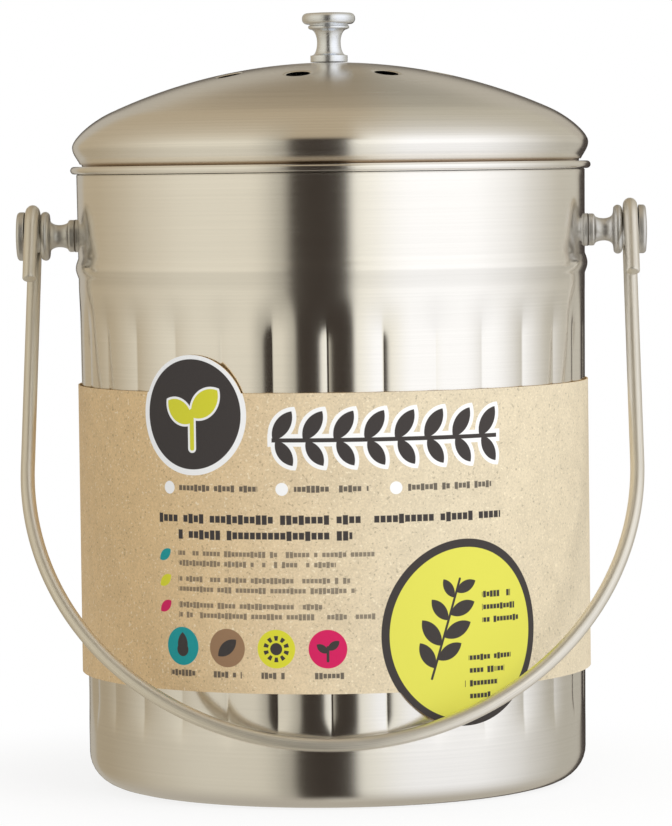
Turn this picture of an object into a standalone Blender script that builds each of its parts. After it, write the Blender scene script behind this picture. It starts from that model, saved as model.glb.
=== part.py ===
"""Kitchen compost bin: a fluted steel pail with a domed lid and a wire carry handle.

Metres, +Z up. The origin is the centre of the flat base. The front, where the handle
rests on the pail, faces -Y, and the two handle posts stand on +X and -X.
"""

import math

import bmesh
import bpy
from mathutils import Matrix, Vector
from mathutils.geometry import interpolate_bezier

# Gaps shared by all pieces
fit_gap = 0.0003
merge_distance = 0.00001
cut_overrun = 0.0020

# Bin body, drawn from one sheet
sheet = 0.0006
body_height = 0.2309
mouth_radius = 0.0950
foot_radius = 0.0932
corner_radius = 0.0120

# Rolled rim, flattened, with its roll centred over the wall
rim_height = 0.0028
rim_reach = 0.0022
rim_inset = 0.0019
rim_lip_gap = 0.0004

# Raised bead under the rim
bead_drop = 0.0379
bead_width = 0.0075
bead_proud = 0.0010

# Convex flutes, meeting in sharp valleys
flute_count = 30
flute_depth = 0.00095
flute_foot = 0.0200
flute_head_drop = 0.0449
flute_fade = 0.0150
columns_per_flute = 3

# Lid dome, heights above the top of the rim
dome_rise = 0.0376
dome_crown_radius = 0.1980
dome_overhang = 0.0014
dome_waist_height = 0.0071
dome_edge_height = 0.0016
dome_edge_cover = 0.0008
shoulder_width = 0.0144
knob_seat_radius = 0.0078
shoulder_handle_shares = (0.415, 0.166)
tuck_handle_shares = (0.364, 0.298)
tuck_slope_share = 0.466

# Vent holes through the dome
vent_count = 8
vent_radius = 0.00445
vent_circle_radius = 0.0425
vent_turn_share = 0.68

# Inner ring of the lid
ring_depth = 0.0099
ring_rise = 0.0046
ring_bead_height = 0.0010
ring_bead_proud = 0.0008

# Charcoal filter in the ring
filter_thickness = 0.0080
filter_recess = 0.0030
filter_edge = 0.0008

# Knob on the crown
knob_height = 0.0185
knob_cap_radius = 0.00995
knob_cap_height = 0.0044
knob_cap_edge = 0.0019
knob_groove_radius = 0.0071
knob_groove_height = 0.0006
knob_bead_radius = 0.0077
knob_bead_height = 0.0012
knob_neck_radius = 0.0044
knob_foot_radius = 0.00695
knob_foot_height = 0.0025
knob_foot_neck_radius = 0.0064

# Handle posts, turned, from the outer cap to the wall
pivot_drop = 0.0258
post_cap_radius = 0.0091
post_cap_length = 0.0032
post_cap_edge = 0.0012
post_cap_crown = 0.0004
post_groove_length = 0.0060
post_shank_radius = 0.0062
post_disc_radius = 0.00915
post_disc_length = 0.0034
post_disc_edge = 0.0017
post_disc_neck_radius = 0.0063
post_neck_length = 0.0070
post_neck_radius = 0.00415
post_collar_radius = 0.0060
post_collar_length = 0.0023
post_collar_edge = 0.0004

# Washers
washer_thickness = 0.0007
washer_radius = 0.0061
washer_edge = 0.0002

# Screws for the posts and the knob
screw_radius = 0.0020
screw_grip = 0.0080
screw_tip_gap = 0.0020
screw_head_radius = 0.0040
screw_head_height = 0.0026
screw_recess_depth = 0.0012
screw_recess_length = 0.0044
screw_recess_width = 0.0010
screw_head_edge_share = 0.6

# Carry handle, one bent wire
wire_radius = 0.0026
handle_rest_height = 0.0245
hook_tail = 0.0235

# Board sleeve round the pail, with a round tab on its top edge and an oval one below
sleeve_low = 0.0425
sleeve_height = 0.1072
sleeve_board = 0.0005
sleeve_clearance = 0.0006
badge_tab_radius = 0.02125
badge_tab_height = 0.1420
badge_tab_turn = math.radians(-31.0)
oval_tab_half_width = 0.03175
oval_tab_half_height = 0.0333
oval_tab_height = 0.0625
oval_tab_turn = math.radians(30.2)

# Sides of the round pieces
large_steps = 60
small_steps = 24
washer_steps = 16
wire_bends = 20
hook_bends = 8
wire_bevel = 3
neck_steps = 5
tab_steps = 12
sleeve_columns = 72
edge_steps = 2
round_steps = 3
shoulder_steps = 4
crown_steps = 5

# Sizes worked out from the ones above
rim_radius = mouth_radius + rim_reach
opening_radius = mouth_radius - rim_inset
dome_radius = mouth_radius + dome_overhang
dome_edge_radius = opening_radius + dome_edge_cover
ring_radius = opening_radius - fit_gap
pivot_height = body_height - pivot_drop
bore_radius = screw_radius + fit_gap
bore_depth = screw_grip + screw_tip_gap


def wall_radius(height):
    """Outside radius of the plain wall, which tapers evenly from the rim to the foot."""
    share = (height - corner_radius) / (body_height - corner_radius)
    return foot_radius + (mouth_radius - foot_radius) * share


pivot_wall_radius = wall_radius(pivot_height)
washer_seat = pivot_wall_radius + fit_gap
post_seat = washer_seat + washer_thickness + fit_gap
post_length = (
    post_collar_length + post_neck_length + post_disc_length + post_groove_length + post_cap_length
)
handle_half_width = post_seat + post_length - post_cap_length - post_groove_length / 2
hook_radius = post_shank_radius + fit_gap + wire_radius
inner_washer_face = (
    math.sqrt((pivot_wall_radius - sheet) ** 2 - washer_radius ** 2) - fit_gap
)


def smooth(share):
    """Ease from 0 to 1, flat at both ends."""
    share = min(max(share, 0), 1)
    return share * share * (3 - 2 * share)


def arc(centre_r, centre_z, radius, start, end, parts):
    """Points on an arc of a profile, with angles in degrees from the +r axis."""
    angles = [math.radians(start + (end - start) * k / parts) for k in range(parts + 1)]
    return [
        (centre_r + radius * math.cos(a), centre_z + radius * math.sin(a)) for a in angles
    ]


def curve_between(start, start_handle, end_handle, end, parts):
    """Points on a cubic curve between two points of a profile."""
    return [
        (p.x, p.y)
        for p in interpolate_bezier(
            Vector(start), Vector(start_handle), Vector(end_handle), Vector(end), parts + 1
        )
    ]


def new_collection(name):
    collection = bpy.data.collections.new(name)
    bpy.context.scene.collection.children.link(collection)
    return collection


def new_material(name, colour, metallic, roughness):
    material = bpy.data.materials.new(name)
    material.use_nodes = True
    shader = material.node_tree.nodes["Principled BSDF"]
    shader.inputs["Base Color"].default_value = (*colour, 1)
    shader.inputs["Metallic"].default_value = metallic
    shader.inputs["Roughness"].default_value = roughness
    material.diffuse_color = (*colour, 1)
    return material


def new_part(name, data, material=None, parent=None, location=(0, 0, 0), rotation=(0, 0, 0)):
    """A named piece of the bin, placed under its parent."""
    part = bpy.data.objects.new(name, data)
    parts.objects.link(part)
    part.parent = parent
    part.location = location
    part.rotation_euler = rotation
    if material:
        data.materials.clear()
        data.materials.append(material)
    return part


def new_axis(name, location, parent=None):
    """An empty that stands on the axis of a joint."""
    axis = new_part(name, None, parent=parent, location=location)
    axis.empty_display_size = mouth_radius
    return axis


def profile_mesh(name, profile):
    mesh = bpy.data.meshes.new(name)
    mesh.from_pydata(
        [(r, 0, z) for r, z in profile], [(k, k + 1) for k in range(len(profile) - 1)], []
    )
    return mesh


def turn(part, steps):
    """Turn the part's profile round its own Z axis."""
    screw = part.modifiers.new("Turn", "SCREW")
    screw.axis = "Z"
    screw.steps = steps
    screw.render_steps = steps
    screw.use_merge_vertices = True
    screw.merge_threshold = merge_distance
    screw.use_smooth_shade = True


def thicken(part, thickness, side):
    """Give an open sheet its thickness: side 1 is outwards and -1 is inwards."""
    solidify = part.modifiers.new("Sheet", "SOLIDIFY")
    solidify.thickness = thickness
    solidify.offset = side
    solidify.use_even_offset = True


def cut(part, cutter):
    boolean = part.modifiers.new("Cut by " + cutter.name, "BOOLEAN")
    boolean.operation = "DIFFERENCE"
    boolean.solver = "EXACT"
    boolean.object = cutter


def new_cutter(name, mesh, parent=None, location=(0, 0, 0), rotation=(0, 0, 0)):
    cutter = bpy.data.objects.new(name, mesh)
    cutters.objects.link(cutter)
    cutter.parent = parent
    cutter.location = location
    cutter.rotation_euler = rotation
    cutter.hide_render = True
    cutter.display_type = "WIRE"
    return cutter


def rods_mesh(name, radius, length, places, steps):
    """Upright rods, each centred on one of the places."""
    bm = bmesh.new()
    for place in places:
        bmesh.ops.create_cone(
            bm, cap_ends=True, segments=steps, radius1=radius, radius2=radius,
            depth=length, matrix=Matrix.Translation(place),
        )
    mesh = bpy.data.meshes.new(name)
    bm.to_mesh(mesh)
    bm.free()
    return mesh


def body_profile():
    """Inner face of the sheet, from the edge of the flat base up to the lip of the roll."""
    profile = arc(
        foot_radius - corner_radius, corner_radius, corner_radius - sheet, -90, 0, round_steps
    )
    head = body_height - flute_head_drop
    heights = (flute_foot, flute_foot + flute_fade, head - flute_fade, head)
    profile += [(wall_radius(z) - sheet, z) for z in heights]
    for step in (-3, -1, 1, 3):
        height = body_height - bead_drop + bead_width * step / 6
        proud = bead_proud * math.cos(math.pi * step / 6)
        profile.append((wall_radius(height) - sheet + proud, height))

    roll = rim_height / 2
    roll_height = body_height - roll
    neck_height = body_height - rim_height - sheet
    profile.append((wall_radius(neck_height) - sheet, neck_height))
    profile += arc(opening_radius + roll, roll_height, roll, 240, 90, edge_steps)
    profile += arc(rim_radius - roll, roll_height, roll, 90, -90, round_steps)
    profile.append((mouth_radius + rim_lip_gap, roll_height - roll))
    return profile


def flute_dent(turn_angle, height):
    """How far the sheet is pressed in: most in a valley, nothing on the crest of a flute."""
    phase = (turn_angle + math.pi / 2) * flute_count / (2 * math.pi)
    from_crest = 2 * (phase % 1) - 1
    head = body_height - flute_head_drop
    fade = smooth((height - flute_foot) / flute_fade) * smooth((head - height) / flute_fade)
    return flute_depth * from_crest ** 2 * fade


def body_mesh():
    """The fluted sheet: the profile spun from the front, then pressed in at the valleys."""
    bm = bmesh.new()
    path = [bm.verts.new((0, -r, z)) for r, z in body_profile()]
    edges = [bm.edges.new(pair) for pair in zip(path, path[1:])]
    bmesh.ops.spin(
        bm, geom=path + edges, cent=(0, 0, 0), axis=(0, 0, 1), angle=2 * math.pi,
        steps=columns_per_flute * flute_count, use_duplicate=False,
    )
    bmesh.ops.remove_doubles(bm, verts=bm.verts, dist=merge_distance)
    base_edges = [
        e for e in bm.edges if e.is_boundary and e.verts[0].co.z < corner_radius
    ]
    base = bmesh.ops.contextual_create(bm, geom=base_edges)["faces"][0]
    for vert in bm.verts:
        radius = math.hypot(vert.co.x, vert.co.y)
        dent = flute_dent(math.atan2(vert.co.y, vert.co.x), vert.co.z)
        vert.co.x *= (radius - dent) / radius
        vert.co.y *= (radius - dent) / radius
    bmesh.ops.recalc_face_normals(bm, faces=bm.faces)
    if base.normal.z > 0:
        bmesh.ops.reverse_faces(bm, faces=bm.faces)
    for face in bm.faces:
        face.smooth = face is not base
    mesh = bpy.data.meshes.new("bin_body")
    bm.to_mesh(mesh)
    bm.free()
    return mesh


def make_body():
    body = new_part("bin_body", body_mesh(), steel)
    thicken(body, sheet, 1)
    holes = new_cutter(
        "post_hole_cutter",
        rods_mesh("post_hole_cutter", bore_radius, 2 * (mouth_radius + cut_overrun),
                  [(0, 0, 0)], washer_steps),
        location=(0, 0, pivot_height), rotation=(0, math.pi / 2, 0),
    )
    cut(body, holes)


def dome_profile():
    """Outer face of the dome, from the flat seat of the knob down to its tucked-in edge."""
    drop = dome_crown_radius - math.sqrt(dome_crown_radius ** 2 - knob_seat_radius ** 2)
    centre = dome_rise + drop - dome_crown_radius
    shoulder_radius = dome_radius - shoulder_width
    slope = math.asin(shoulder_radius / dome_crown_radius)
    start = 90 - math.degrees(math.asin(knob_seat_radius / dome_crown_radius))
    crown = arc(0, centre, dome_crown_radius, start, 90 - math.degrees(slope), crown_steps)

    shoulder = crown[-1]
    waist = (dome_radius, dome_waist_height)
    span = math.dist(shoulder, waist)
    reach, drop = (span * share for share in shoulder_handle_shares)
    upper = curve_between(
        shoulder,
        (shoulder[0] + reach * math.cos(slope), shoulder[1] - reach * math.sin(slope)),
        (waist[0], waist[1] + drop), waist, shoulder_steps,
    )
    edge = (dome_edge_radius, dome_edge_height)
    span = math.dist(waist, edge)
    drop, rise = (span * share for share in tuck_handle_shares)
    lower = curve_between(
        waist, (waist[0], waist[1] - drop),
        (edge[0] + rise * tuck_slope_share, edge[1] + rise), edge, edge_steps,
    )
    return [(0, dome_rise)] + crown + upper[1:] + lower[1:]


def make_dome(lid):
    dome = new_part("lid_dome", profile_mesh("lid_dome", dome_profile()), steel, lid)
    turn(dome, large_steps)
    thicken(dome, sheet, -1)
    step = 2 * math.pi / vent_count
    angles = [step * (k + vent_turn_share) - math.pi / 2 for k in range(vent_count)]
    places = [
        (vent_circle_radius * math.cos(a), vent_circle_radius * math.sin(a), dome_rise)
        for a in angles
    ]
    vents = new_cutter(
        "vent_cutter", rods_mesh("vent_cutter", vent_radius, dome_rise, places, washer_steps), lid
    )
    cut(dome, vents)
    hole = new_cutter(
        "knob_hole_cutter",
        rods_mesh("knob_hole_cutter", bore_radius, dome_rise, [(0, 0, dome_rise)], washer_steps),
        lid,
    )
    cut(dome, hole)


def make_ring(lid):
    """The skirt that enters the mouth. A small bead on it carries the lid on the rim."""
    bead_low = fit_gap
    bead_high = bead_low + ring_bead_height
    inside = ring_radius - sheet
    profile = [
        (inside, ring_rise), (ring_radius, ring_rise), (ring_radius, bead_high),
        (ring_radius + ring_bead_proud, bead_high), (ring_radius + ring_bead_proud, bead_low),
        (ring_radius, bead_low), (ring_radius, -ring_depth), (inside, -ring_depth),
        (inside, ring_rise),
    ]
    ring = new_part("lid_inner_ring", profile_mesh("lid_inner_ring", profile), steel, lid)
    turn(ring, large_steps)


def make_filter(lid):
    low = filter_recess - ring_depth
    high = low + filter_thickness
    radius = ring_radius - sheet - fit_gap
    axis = new_axis("filter_axis", (0, 0, low), lid)
    profile = [
        (0, high - low), (radius - filter_edge, high - low), (radius, high - low - filter_edge),
        (radius, filter_edge), (radius - filter_edge, 0), (0, 0),
    ]
    pad = new_part("carbon_filter", profile_mesh("carbon_filter", profile), charcoal, axis)
    turn(pad, large_steps)


def knob_profile():
    """The turned knob, from the middle of its cap down to its foot and up its bore."""
    cap_low = knob_height - knob_cap_height
    bead_high = cap_low - knob_groove_height
    bead_low = bead_high - knob_bead_height
    profile = [(0, knob_height)]
    edge = knob_cap_radius - knob_cap_edge
    profile += arc(edge, knob_height - knob_cap_edge, knob_cap_edge, 90, 0, edge_steps)
    profile += arc(edge, cap_low + knob_cap_edge, knob_cap_edge, 0, -90, edge_steps)
    bead = knob_bead_height / 2
    profile += [(knob_groove_radius, cap_low), (knob_groove_radius, bead_high)]
    profile += arc(knob_bead_radius - bead, bead_low + bead, bead, 90, -90, round_steps)
    waist_height = (bead_low + knob_foot_height) / 2
    half = (bead_low - knob_foot_height) / 2
    for step in range(neck_steps + 1):
        along = 1 - 2 * step / neck_steps
        side = knob_groove_radius if along > 0 else knob_foot_neck_radius
        bulge = 1 - math.sqrt(1 - along ** 2)
        profile.append(
            (knob_neck_radius + (side - knob_neck_radius) * bulge, waist_height + half * along)
        )
    profile += [
        (knob_foot_radius, knob_foot_height), (knob_foot_radius, 0), (bore_radius, 0),
        (bore_radius, bore_depth), (0, bore_depth),
    ]
    return profile


def make_knob(lid):
    knob = new_part(
        "lid_knob", profile_mesh("lid_knob", knob_profile()), aluminium, lid,
        location=(0, 0, dome_rise + fit_gap),
    )
    turn(knob, small_steps)


def washer_mesh(name):
    """A flat ring with eased outer edges."""
    profile = [
        (bore_radius, washer_thickness), (washer_radius - washer_edge, washer_thickness),
        (washer_radius, washer_thickness - washer_edge), (washer_radius, washer_edge),
        (washer_radius - washer_edge, 0), (bore_radius, 0), (bore_radius, washer_thickness),
    ]
    return profile_mesh(name, profile)


def make_washer(name, parent=None, location=(0, 0, 0), rotation=(0, 0, 0)):
    washer = new_part(name, washer_mesh(name), aluminium, parent, location, rotation)
    turn(washer, washer_steps)


def make_screw(name, stack, parent=None, location=(0, 0, 0), rotation=(0, 0, 0)):
    """A pan-head screw whose head bears at its own origin. Stack is what it passes through."""
    edge = screw_head_height * screw_head_edge_share
    length = stack + screw_grip
    profile = [(0, length), (screw_radius, length), (screw_radius, 0), (screw_head_radius, 0)]
    profile += arc(screw_head_radius - edge, edge - screw_head_height, edge, 0, -90, round_steps)
    profile.append((0, -screw_head_height))
    screw = new_part(name, profile_mesh(name, profile), zinc, parent, location, rotation)
    turn(screw, washer_steps)
    for number, spin in enumerate((0, math.pi / 2)):
        bar = bpy.data.meshes.new("recess_bar")
        bm = bmesh.new()
        size = (screw_recess_length, screw_recess_width, 2 * screw_recess_depth)
        bmesh.ops.create_cube(bm, size=1, matrix=Matrix.Diagonal((*size, 1)))
        bm.to_mesh(bar)
        bm.free()
        cutter = new_cutter(
            f"{name}_recess_cutter_{number + 1}", bar, screw,
            location=(0, 0, -screw_head_height), rotation=(0, 0, spin),
        )
        cut(screw, cutter)


def post_profile():
    """A turned handle post, from the middle of its outer cap down to the wall side."""
    cap_low = post_length - post_cap_length
    disc_high = cap_low - post_groove_length
    disc_low = disc_high - post_disc_length
    profile = [(0, post_length)]
    profile += arc(
        post_cap_radius - post_cap_edge, post_length - post_cap_crown - post_cap_edge,
        post_cap_edge, 90, 0, edge_steps,
    )
    profile += [
        (post_cap_radius, cap_low), (post_shank_radius, cap_low), (post_shank_radius, disc_high),
    ]
    edge = post_disc_radius - post_disc_edge
    profile += arc(edge, disc_high - post_disc_edge, post_disc_edge, 90, 0, edge_steps)
    profile += arc(edge, disc_low + post_disc_edge, post_disc_edge, 0, -60, edge_steps)
    half = post_neck_length / 2
    for step in range(neck_steps + 1):
        along = 1 - 2 * step / neck_steps
        side = post_disc_neck_radius if along > 0 else post_collar_radius - post_collar_edge
        bulge = 1 - math.sqrt(1 - along ** 2)
        profile.append(
            (post_neck_radius + (side - post_neck_radius) * bulge,
             post_collar_length + half + half * along)
        )
    profile += [
        (post_collar_radius, post_collar_length - post_collar_edge),
        (post_collar_radius, post_collar_edge), (post_collar_radius - post_collar_edge, 0),
        (bore_radius, 0), (bore_radius, bore_depth), (0, bore_depth),
    ]
    return profile


def make_posts():
    """A post with its washers and screw on each side, all on the pivot's line."""
    for name, side in (("right", 1), ("left", -1)):
        outwards = (0, side * math.pi / 2, 0)
        post = new_part(
            f"{name}_handle_post", profile_mesh(f"{name}_handle_post", post_profile()),
            aluminium, location=(side * post_seat, 0, pivot_height), rotation=outwards,
        )
        turn(post, small_steps)
        make_washer(
            f"{name}_outer_washer", location=(side * washer_seat, 0, pivot_height),
            rotation=outwards,
        )
        inner_seat = inner_washer_face - washer_thickness
        make_washer(
            f"{name}_inner_washer", location=(side * inner_seat, 0, pivot_height),
            rotation=outwards,
        )
        head_seat = inner_seat - fit_gap
        make_screw(
            f"{name}_post_screw", post_seat - head_seat,
            location=(side * head_seat, 0, pivot_height), rotation=outwards,
        )


def handle_points():
    """Centre line of the wire, with the posts' line as X and its reach along -Z.

    From one cut end the wire runs up in front of the post, over it in a half turn, down
    behind it as a straight arm, round in a half circle and up again on the other side.
    """
    front = wall_radius(handle_rest_height) + fit_gap + wire_radius
    drop = pivot_height - handle_rest_height
    reach = math.sqrt(front ** 2 + drop ** 2 - hook_radius ** 2)
    arm = reach - handle_half_width
    hook = [(-hook_radius, -hook_tail)]
    for y, z in arc(0, 0, hook_radius, 180, 0, hook_bends):
        hook.append((y, z))
    right = [(handle_half_width, y, z) for y, z in hook]
    left = [(-x, y, z) for x, y, z in reversed(right)]
    bend = [
        (x, hook_radius, z - arm) for x, z in arc(0, 0, handle_half_width, 0, -180, wire_bends)
    ]
    tilt = math.atan2(front, drop) + math.asin(hook_radius / math.hypot(front, drop))
    return right + bend + left, tilt


def make_handle():
    points, tilt = handle_points()
    curve = bpy.data.curves.new("carry_handle", "CURVE")
    curve.dimensions = "3D"
    curve.bevel_depth = wire_radius
    curve.bevel_resolution = wire_bevel
    curve.use_fill_caps = True
    spline = curve.splines.new("POLY")
    spline.points.add(len(points) - 1)
    for point, place in zip(spline.points, points):
        point.co = (*place, 1)
    spline.use_smooth = True
    axis = new_axis("handle_axis", (0, 0, pivot_height))
    new_part("carry_handle", curve, wire_steel, axis, rotation=(-tilt, 0, 0))


def tab_edge(angle, tab_turn, half_width, half_height, radius):
    """Half height of an oval tab of the sleeve at an angle round the bin, or None past it."""
    along = (angle - tab_turn) * radius / half_width
    return half_height * math.sqrt(1 - along ** 2) if abs(along) < 1 else None


def sleeve_angles(radius):
    """Columns of the sleeve, from the back: evenly round it, and closer over the tabs."""
    tabs = ((badge_tab_turn, badge_tab_radius / radius),
            (oval_tab_turn, oval_tab_half_width / radius))
    angles = []
    for k in range(sleeve_columns):
        angle = math.pi * (2 * k / sleeve_columns - 1)
        if all(abs(angle - centre) > span for centre, span in tabs):
            angles.append(angle)
    for centre, span in tabs:
        angles += [
            centre + span * math.sin(math.pi * (k / tab_steps - 1 / 2))
            for k in range(tab_steps + 1)
        ]
    return sorted(angles)


def make_sleeve():
    """A band whose top and bottom edges follow the tabs, as one sheet of board."""
    sleeve_top = sleeve_low + sleeve_height
    radius = max(wall_radius(sleeve_low), wall_radius(sleeve_top)) + sleeve_clearance
    bm = bmesh.new()
    low, high = [], []
    for angle in sleeve_angles(radius):
        oval = tab_edge(angle, oval_tab_turn, oval_tab_half_width, oval_tab_half_height, radius)
        badge = tab_edge(angle, badge_tab_turn, badge_tab_radius, badge_tab_radius, radius)
        x, y = radius * math.sin(angle), -radius * math.cos(angle)
        bottom = sleeve_low if oval is None else min(sleeve_low, oval_tab_height - oval)
        top = sleeve_top if badge is None else max(sleeve_top, badge_tab_height + badge)
        low.append(bm.verts.new((x, y, bottom)))
        high.append(bm.verts.new((x, y, top)))
    for k in range(len(low)):
        bm.faces.new((low[k - 1], low[k], high[k], high[k - 1]))
    mesh = bpy.data.meshes.new("paper_sleeve")
    bm.to_mesh(mesh)
    bm.free()
    mesh.shade_smooth()
    sleeve = new_part("paper_sleeve", mesh, board)
    thicken(sleeve, sleeve_board, 1)


def make_lid():
    lid = new_axis("lid_axis", (0, 0, body_height))
    make_dome(lid)
    make_ring(lid)
    make_filter(lid)
    make_knob(lid)
    washer_low = dome_rise - sheet - fit_gap - washer_thickness
    make_washer("knob_washer", lid, location=(0, 0, washer_low))
    head_seat = washer_low - fit_gap
    make_screw("knob_screw", dome_rise + fit_gap - head_seat, lid, location=(0, 0, head_seat))


for old in list(bpy.data.objects):
    bpy.data.objects.remove(old, do_unlink=True)

parts = new_collection("kitchen_compost_bin")
cutters = new_collection("cutters")

steel = new_material("brushed_steel", (0.62, 0.58, 0.53), 1.0, 0.28)
aluminium = new_material("turned_aluminium", (0.74, 0.73, 0.71), 1.0, 0.30)
wire_steel = new_material("handle_wire", (0.72, 0.67, 0.58), 1.0, 0.25)
zinc = new_material("plated_screw", (0.55, 0.55, 0.56), 1.0, 0.35)
charcoal = new_material("charcoal_felt", (0.03, 0.03, 0.03), 0.0, 0.95)
board = new_material("kraft_board", (0.62, 0.47, 0.30), 0.0, 0.80)

make_body()
make_posts()
make_handle()
make_lid()
make_sleeve()
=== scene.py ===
import math
from functools import reduce

import bmesh
import bpy
import numpy as np
from bpy.props import FloatProperty, FloatVectorProperty, IntProperty, PointerProperty
from bpy.types import Operator, Panel, PropertyGroup
from mathutils import Matrix, Vector


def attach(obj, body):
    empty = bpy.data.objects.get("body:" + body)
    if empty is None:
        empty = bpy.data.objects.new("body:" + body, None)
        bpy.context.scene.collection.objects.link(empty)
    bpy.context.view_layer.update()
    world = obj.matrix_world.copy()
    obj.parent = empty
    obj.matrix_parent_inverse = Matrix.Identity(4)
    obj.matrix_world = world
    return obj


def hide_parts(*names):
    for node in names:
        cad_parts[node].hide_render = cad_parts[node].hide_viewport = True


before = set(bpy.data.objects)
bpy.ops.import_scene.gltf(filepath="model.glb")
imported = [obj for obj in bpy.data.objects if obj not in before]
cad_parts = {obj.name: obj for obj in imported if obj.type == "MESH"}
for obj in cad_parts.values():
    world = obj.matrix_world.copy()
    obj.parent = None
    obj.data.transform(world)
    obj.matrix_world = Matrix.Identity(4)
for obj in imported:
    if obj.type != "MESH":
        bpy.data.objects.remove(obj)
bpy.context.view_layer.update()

bl_info = {
    "name": "Kitchen compost bin",
    "version": (1, 0, 0),
    "blender": (4, 5, 0),
    "location": "3D view > Sidebar > Compost bin",
    "description": "Fluted steel compost bin with a domed lid, a wire handle and a board sleeve",
    "category": "Add Mesh",
}

# Shared by several pieces, with lengths in metres
mm = 0.001
fit_gap = 0.0003
steel_sheet = 0.0006
bore_radius = 0.0023
bore_depth = 0.0100
bore_mouth = 0.0026
washer_radius = 0.0061
washer_thickness = 0.0007
weld_distance = 0.000002
hole_reach = 0.0070
hole_rows = 6
turned_columns = 72
fastener_columns = 64
sharp_angle = math.radians(38)
sides = (("right", 1), ("left", -1))


def length(name, description, default):
    return FloatProperty(
        name=name, description=description, default=default, min=0, unit="LENGTH", precision=5
    )


def angle(name, description, default):
    return FloatProperty(
        name=name, description=description, default=math.radians(default), unit="ROTATION"
    )


def share(name, description, default):
    return FloatProperty(
        name=name, description=description, default=default, min=0, max=1, subtype="FACTOR"
    )


def count(name, description, default):
    return IntProperty(name=name, description=description, default=default, min=3)


def colour(name, description, default):
    return FloatVectorProperty(
        name=name, description=description, default=default, min=0, max=1, subtype="COLOR"
    )


class BinBodySizes(PropertyGroup):
    height: length("Height", "From the flat base to the top of the rim", 0.2309)
    mouth_radius: length("Mouth radius", "Outside of the wall at the mouth", 0.0950)
    foot_radius: length("Foot radius", "Outside of the wall at the foot", 0.0932)
    corner_radius: length("Corner radius", "Round between base and wall", 0.0120)
    rim_height: length("Rim height", "Height of the rolled rim", 0.0028)
    rim_reach: length("Rim reach", "How far the rim stands outside the wall", 0.0022)
    rim_inset: length("Rim inset", "How far the rim stands inside the wall", 0.0019)
    rim_lip_gap: length("Lip gap", "From the wall to the end of the roll", 0.0004)
    bead_drop: length("Bead drop", "From the rim's top to the bead", 0.0379)
    bead_width: length("Bead width", "Height of the raised bead", 0.0075)
    bead_proud: length("Bead rise", "How far the bead stands out", 0.0010)
    flute_count: count("Flutes", "Flutes round the wall", 30)
    flute_depth: length("Flute depth", "Depth of a valley between flutes", 0.00095)
    flute_foot: length("Flute foot", "Height at which the flutes start", 0.0200)
    flute_head_drop: length("Flute head drop", "From the rim's top to the flutes", 0.0449)
    flute_fade: length("Flute foot fade", "Length over which a flute starts", 0.0150)
    flute_head_fade: length("Flute head fade", "Length over which a flute ends", 0.0180)
    crease_drop: length("Crease drop", "From a flute's end to its first crease", 0.0050)
    crease_fade: length("Crease fade", "Length over which a crease sharpens", 0.0150)


class BinLidSizes(PropertyGroup):
    rise: length("Rise", "From the rim's top to the crown of the dome", 0.0376)
    crown_radius: length("Crown radius", "Radius of the sphere that the crown follows", 0.1980)
    overhang: length("Overhang", "How far the waist stands outside the wall", 0.0014)
    waist_height: length("Waist height", "Height of the widest place", 0.0071)
    edge_height: length("Edge height", "Height of the tucked-in edge", 0.0008)
    edge_cover: length("Edge cover", "How far the edge stands outside the opening", 0.0005)
    shoulder_width: length("Shoulder width", "From the crown's end to the waist", 0.0144)
    seat_radius: length("Knob seat", "Radius of the flat under the knob", 0.0078)
    vent_count: count("Vents", "Vent holes in the dome", 8)
    vent_radius: length("Vent radius", "Radius of a vent hole", 0.00445)
    vent_circle: length("Vent circle", "Radius of the circle of vents", 0.0425)
    vent_turn: share("Vent turn", "Turn of the vents, as a share of their spacing", 0.68)
    ring_depth: length("Ring depth", "How far the inner ring reaches down", 0.0099)
    ring_rise: length("Ring rise", "How far the inner ring reaches up", 0.0046)
    ring_bead_height: length("Ring bead height", "Height of the ring's bead", 0.0010)
    ring_bead_proud: length("Ring bead rise", "How far that bead stands out", 0.00015)
    filter_thickness: length("Filter thickness", "Thickness of the charcoal felt", 0.0080)
    filter_recess: length("Filter recess", "From the ring's edge up to the felt", 0.0030)


class BinKnobSizes(PropertyGroup):
    height: length("Height", "Height of the knob", 0.0185)
    cap_radius: length("Cap radius", "Radius of the cap", 0.00995)
    cap_height: length("Cap height", "Height of the cap", 0.0044)
    cap_edge: length("Cap edge", "Rounding of the cap's edges", 0.0019)
    cap_crown: length("Cap crown", "Rise of the cap's middle", 0.00025)
    groove_radius: length("Groove radius", "Radius of the groove under the cap", 0.0071)
    groove_height: length("Groove height", "Height of that groove", 0.00035)
    bead_radius: length("Bead radius", "Radius of the thin bead under the groove", 0.0077)
    bead_height: length("Bead height", "Height of that bead", 0.00145)
    neck_radius: length("Neck radius", "Radius at the neck's waist", 0.0044)
    neck_foot: length("Neck foot", "Radius of the neck where it meets the foot", 0.0064)
    foot_radius: length("Foot radius", "Radius of the foot", 0.00695)
    foot_height: length("Foot height", "Height of the foot", 0.0025)


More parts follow.
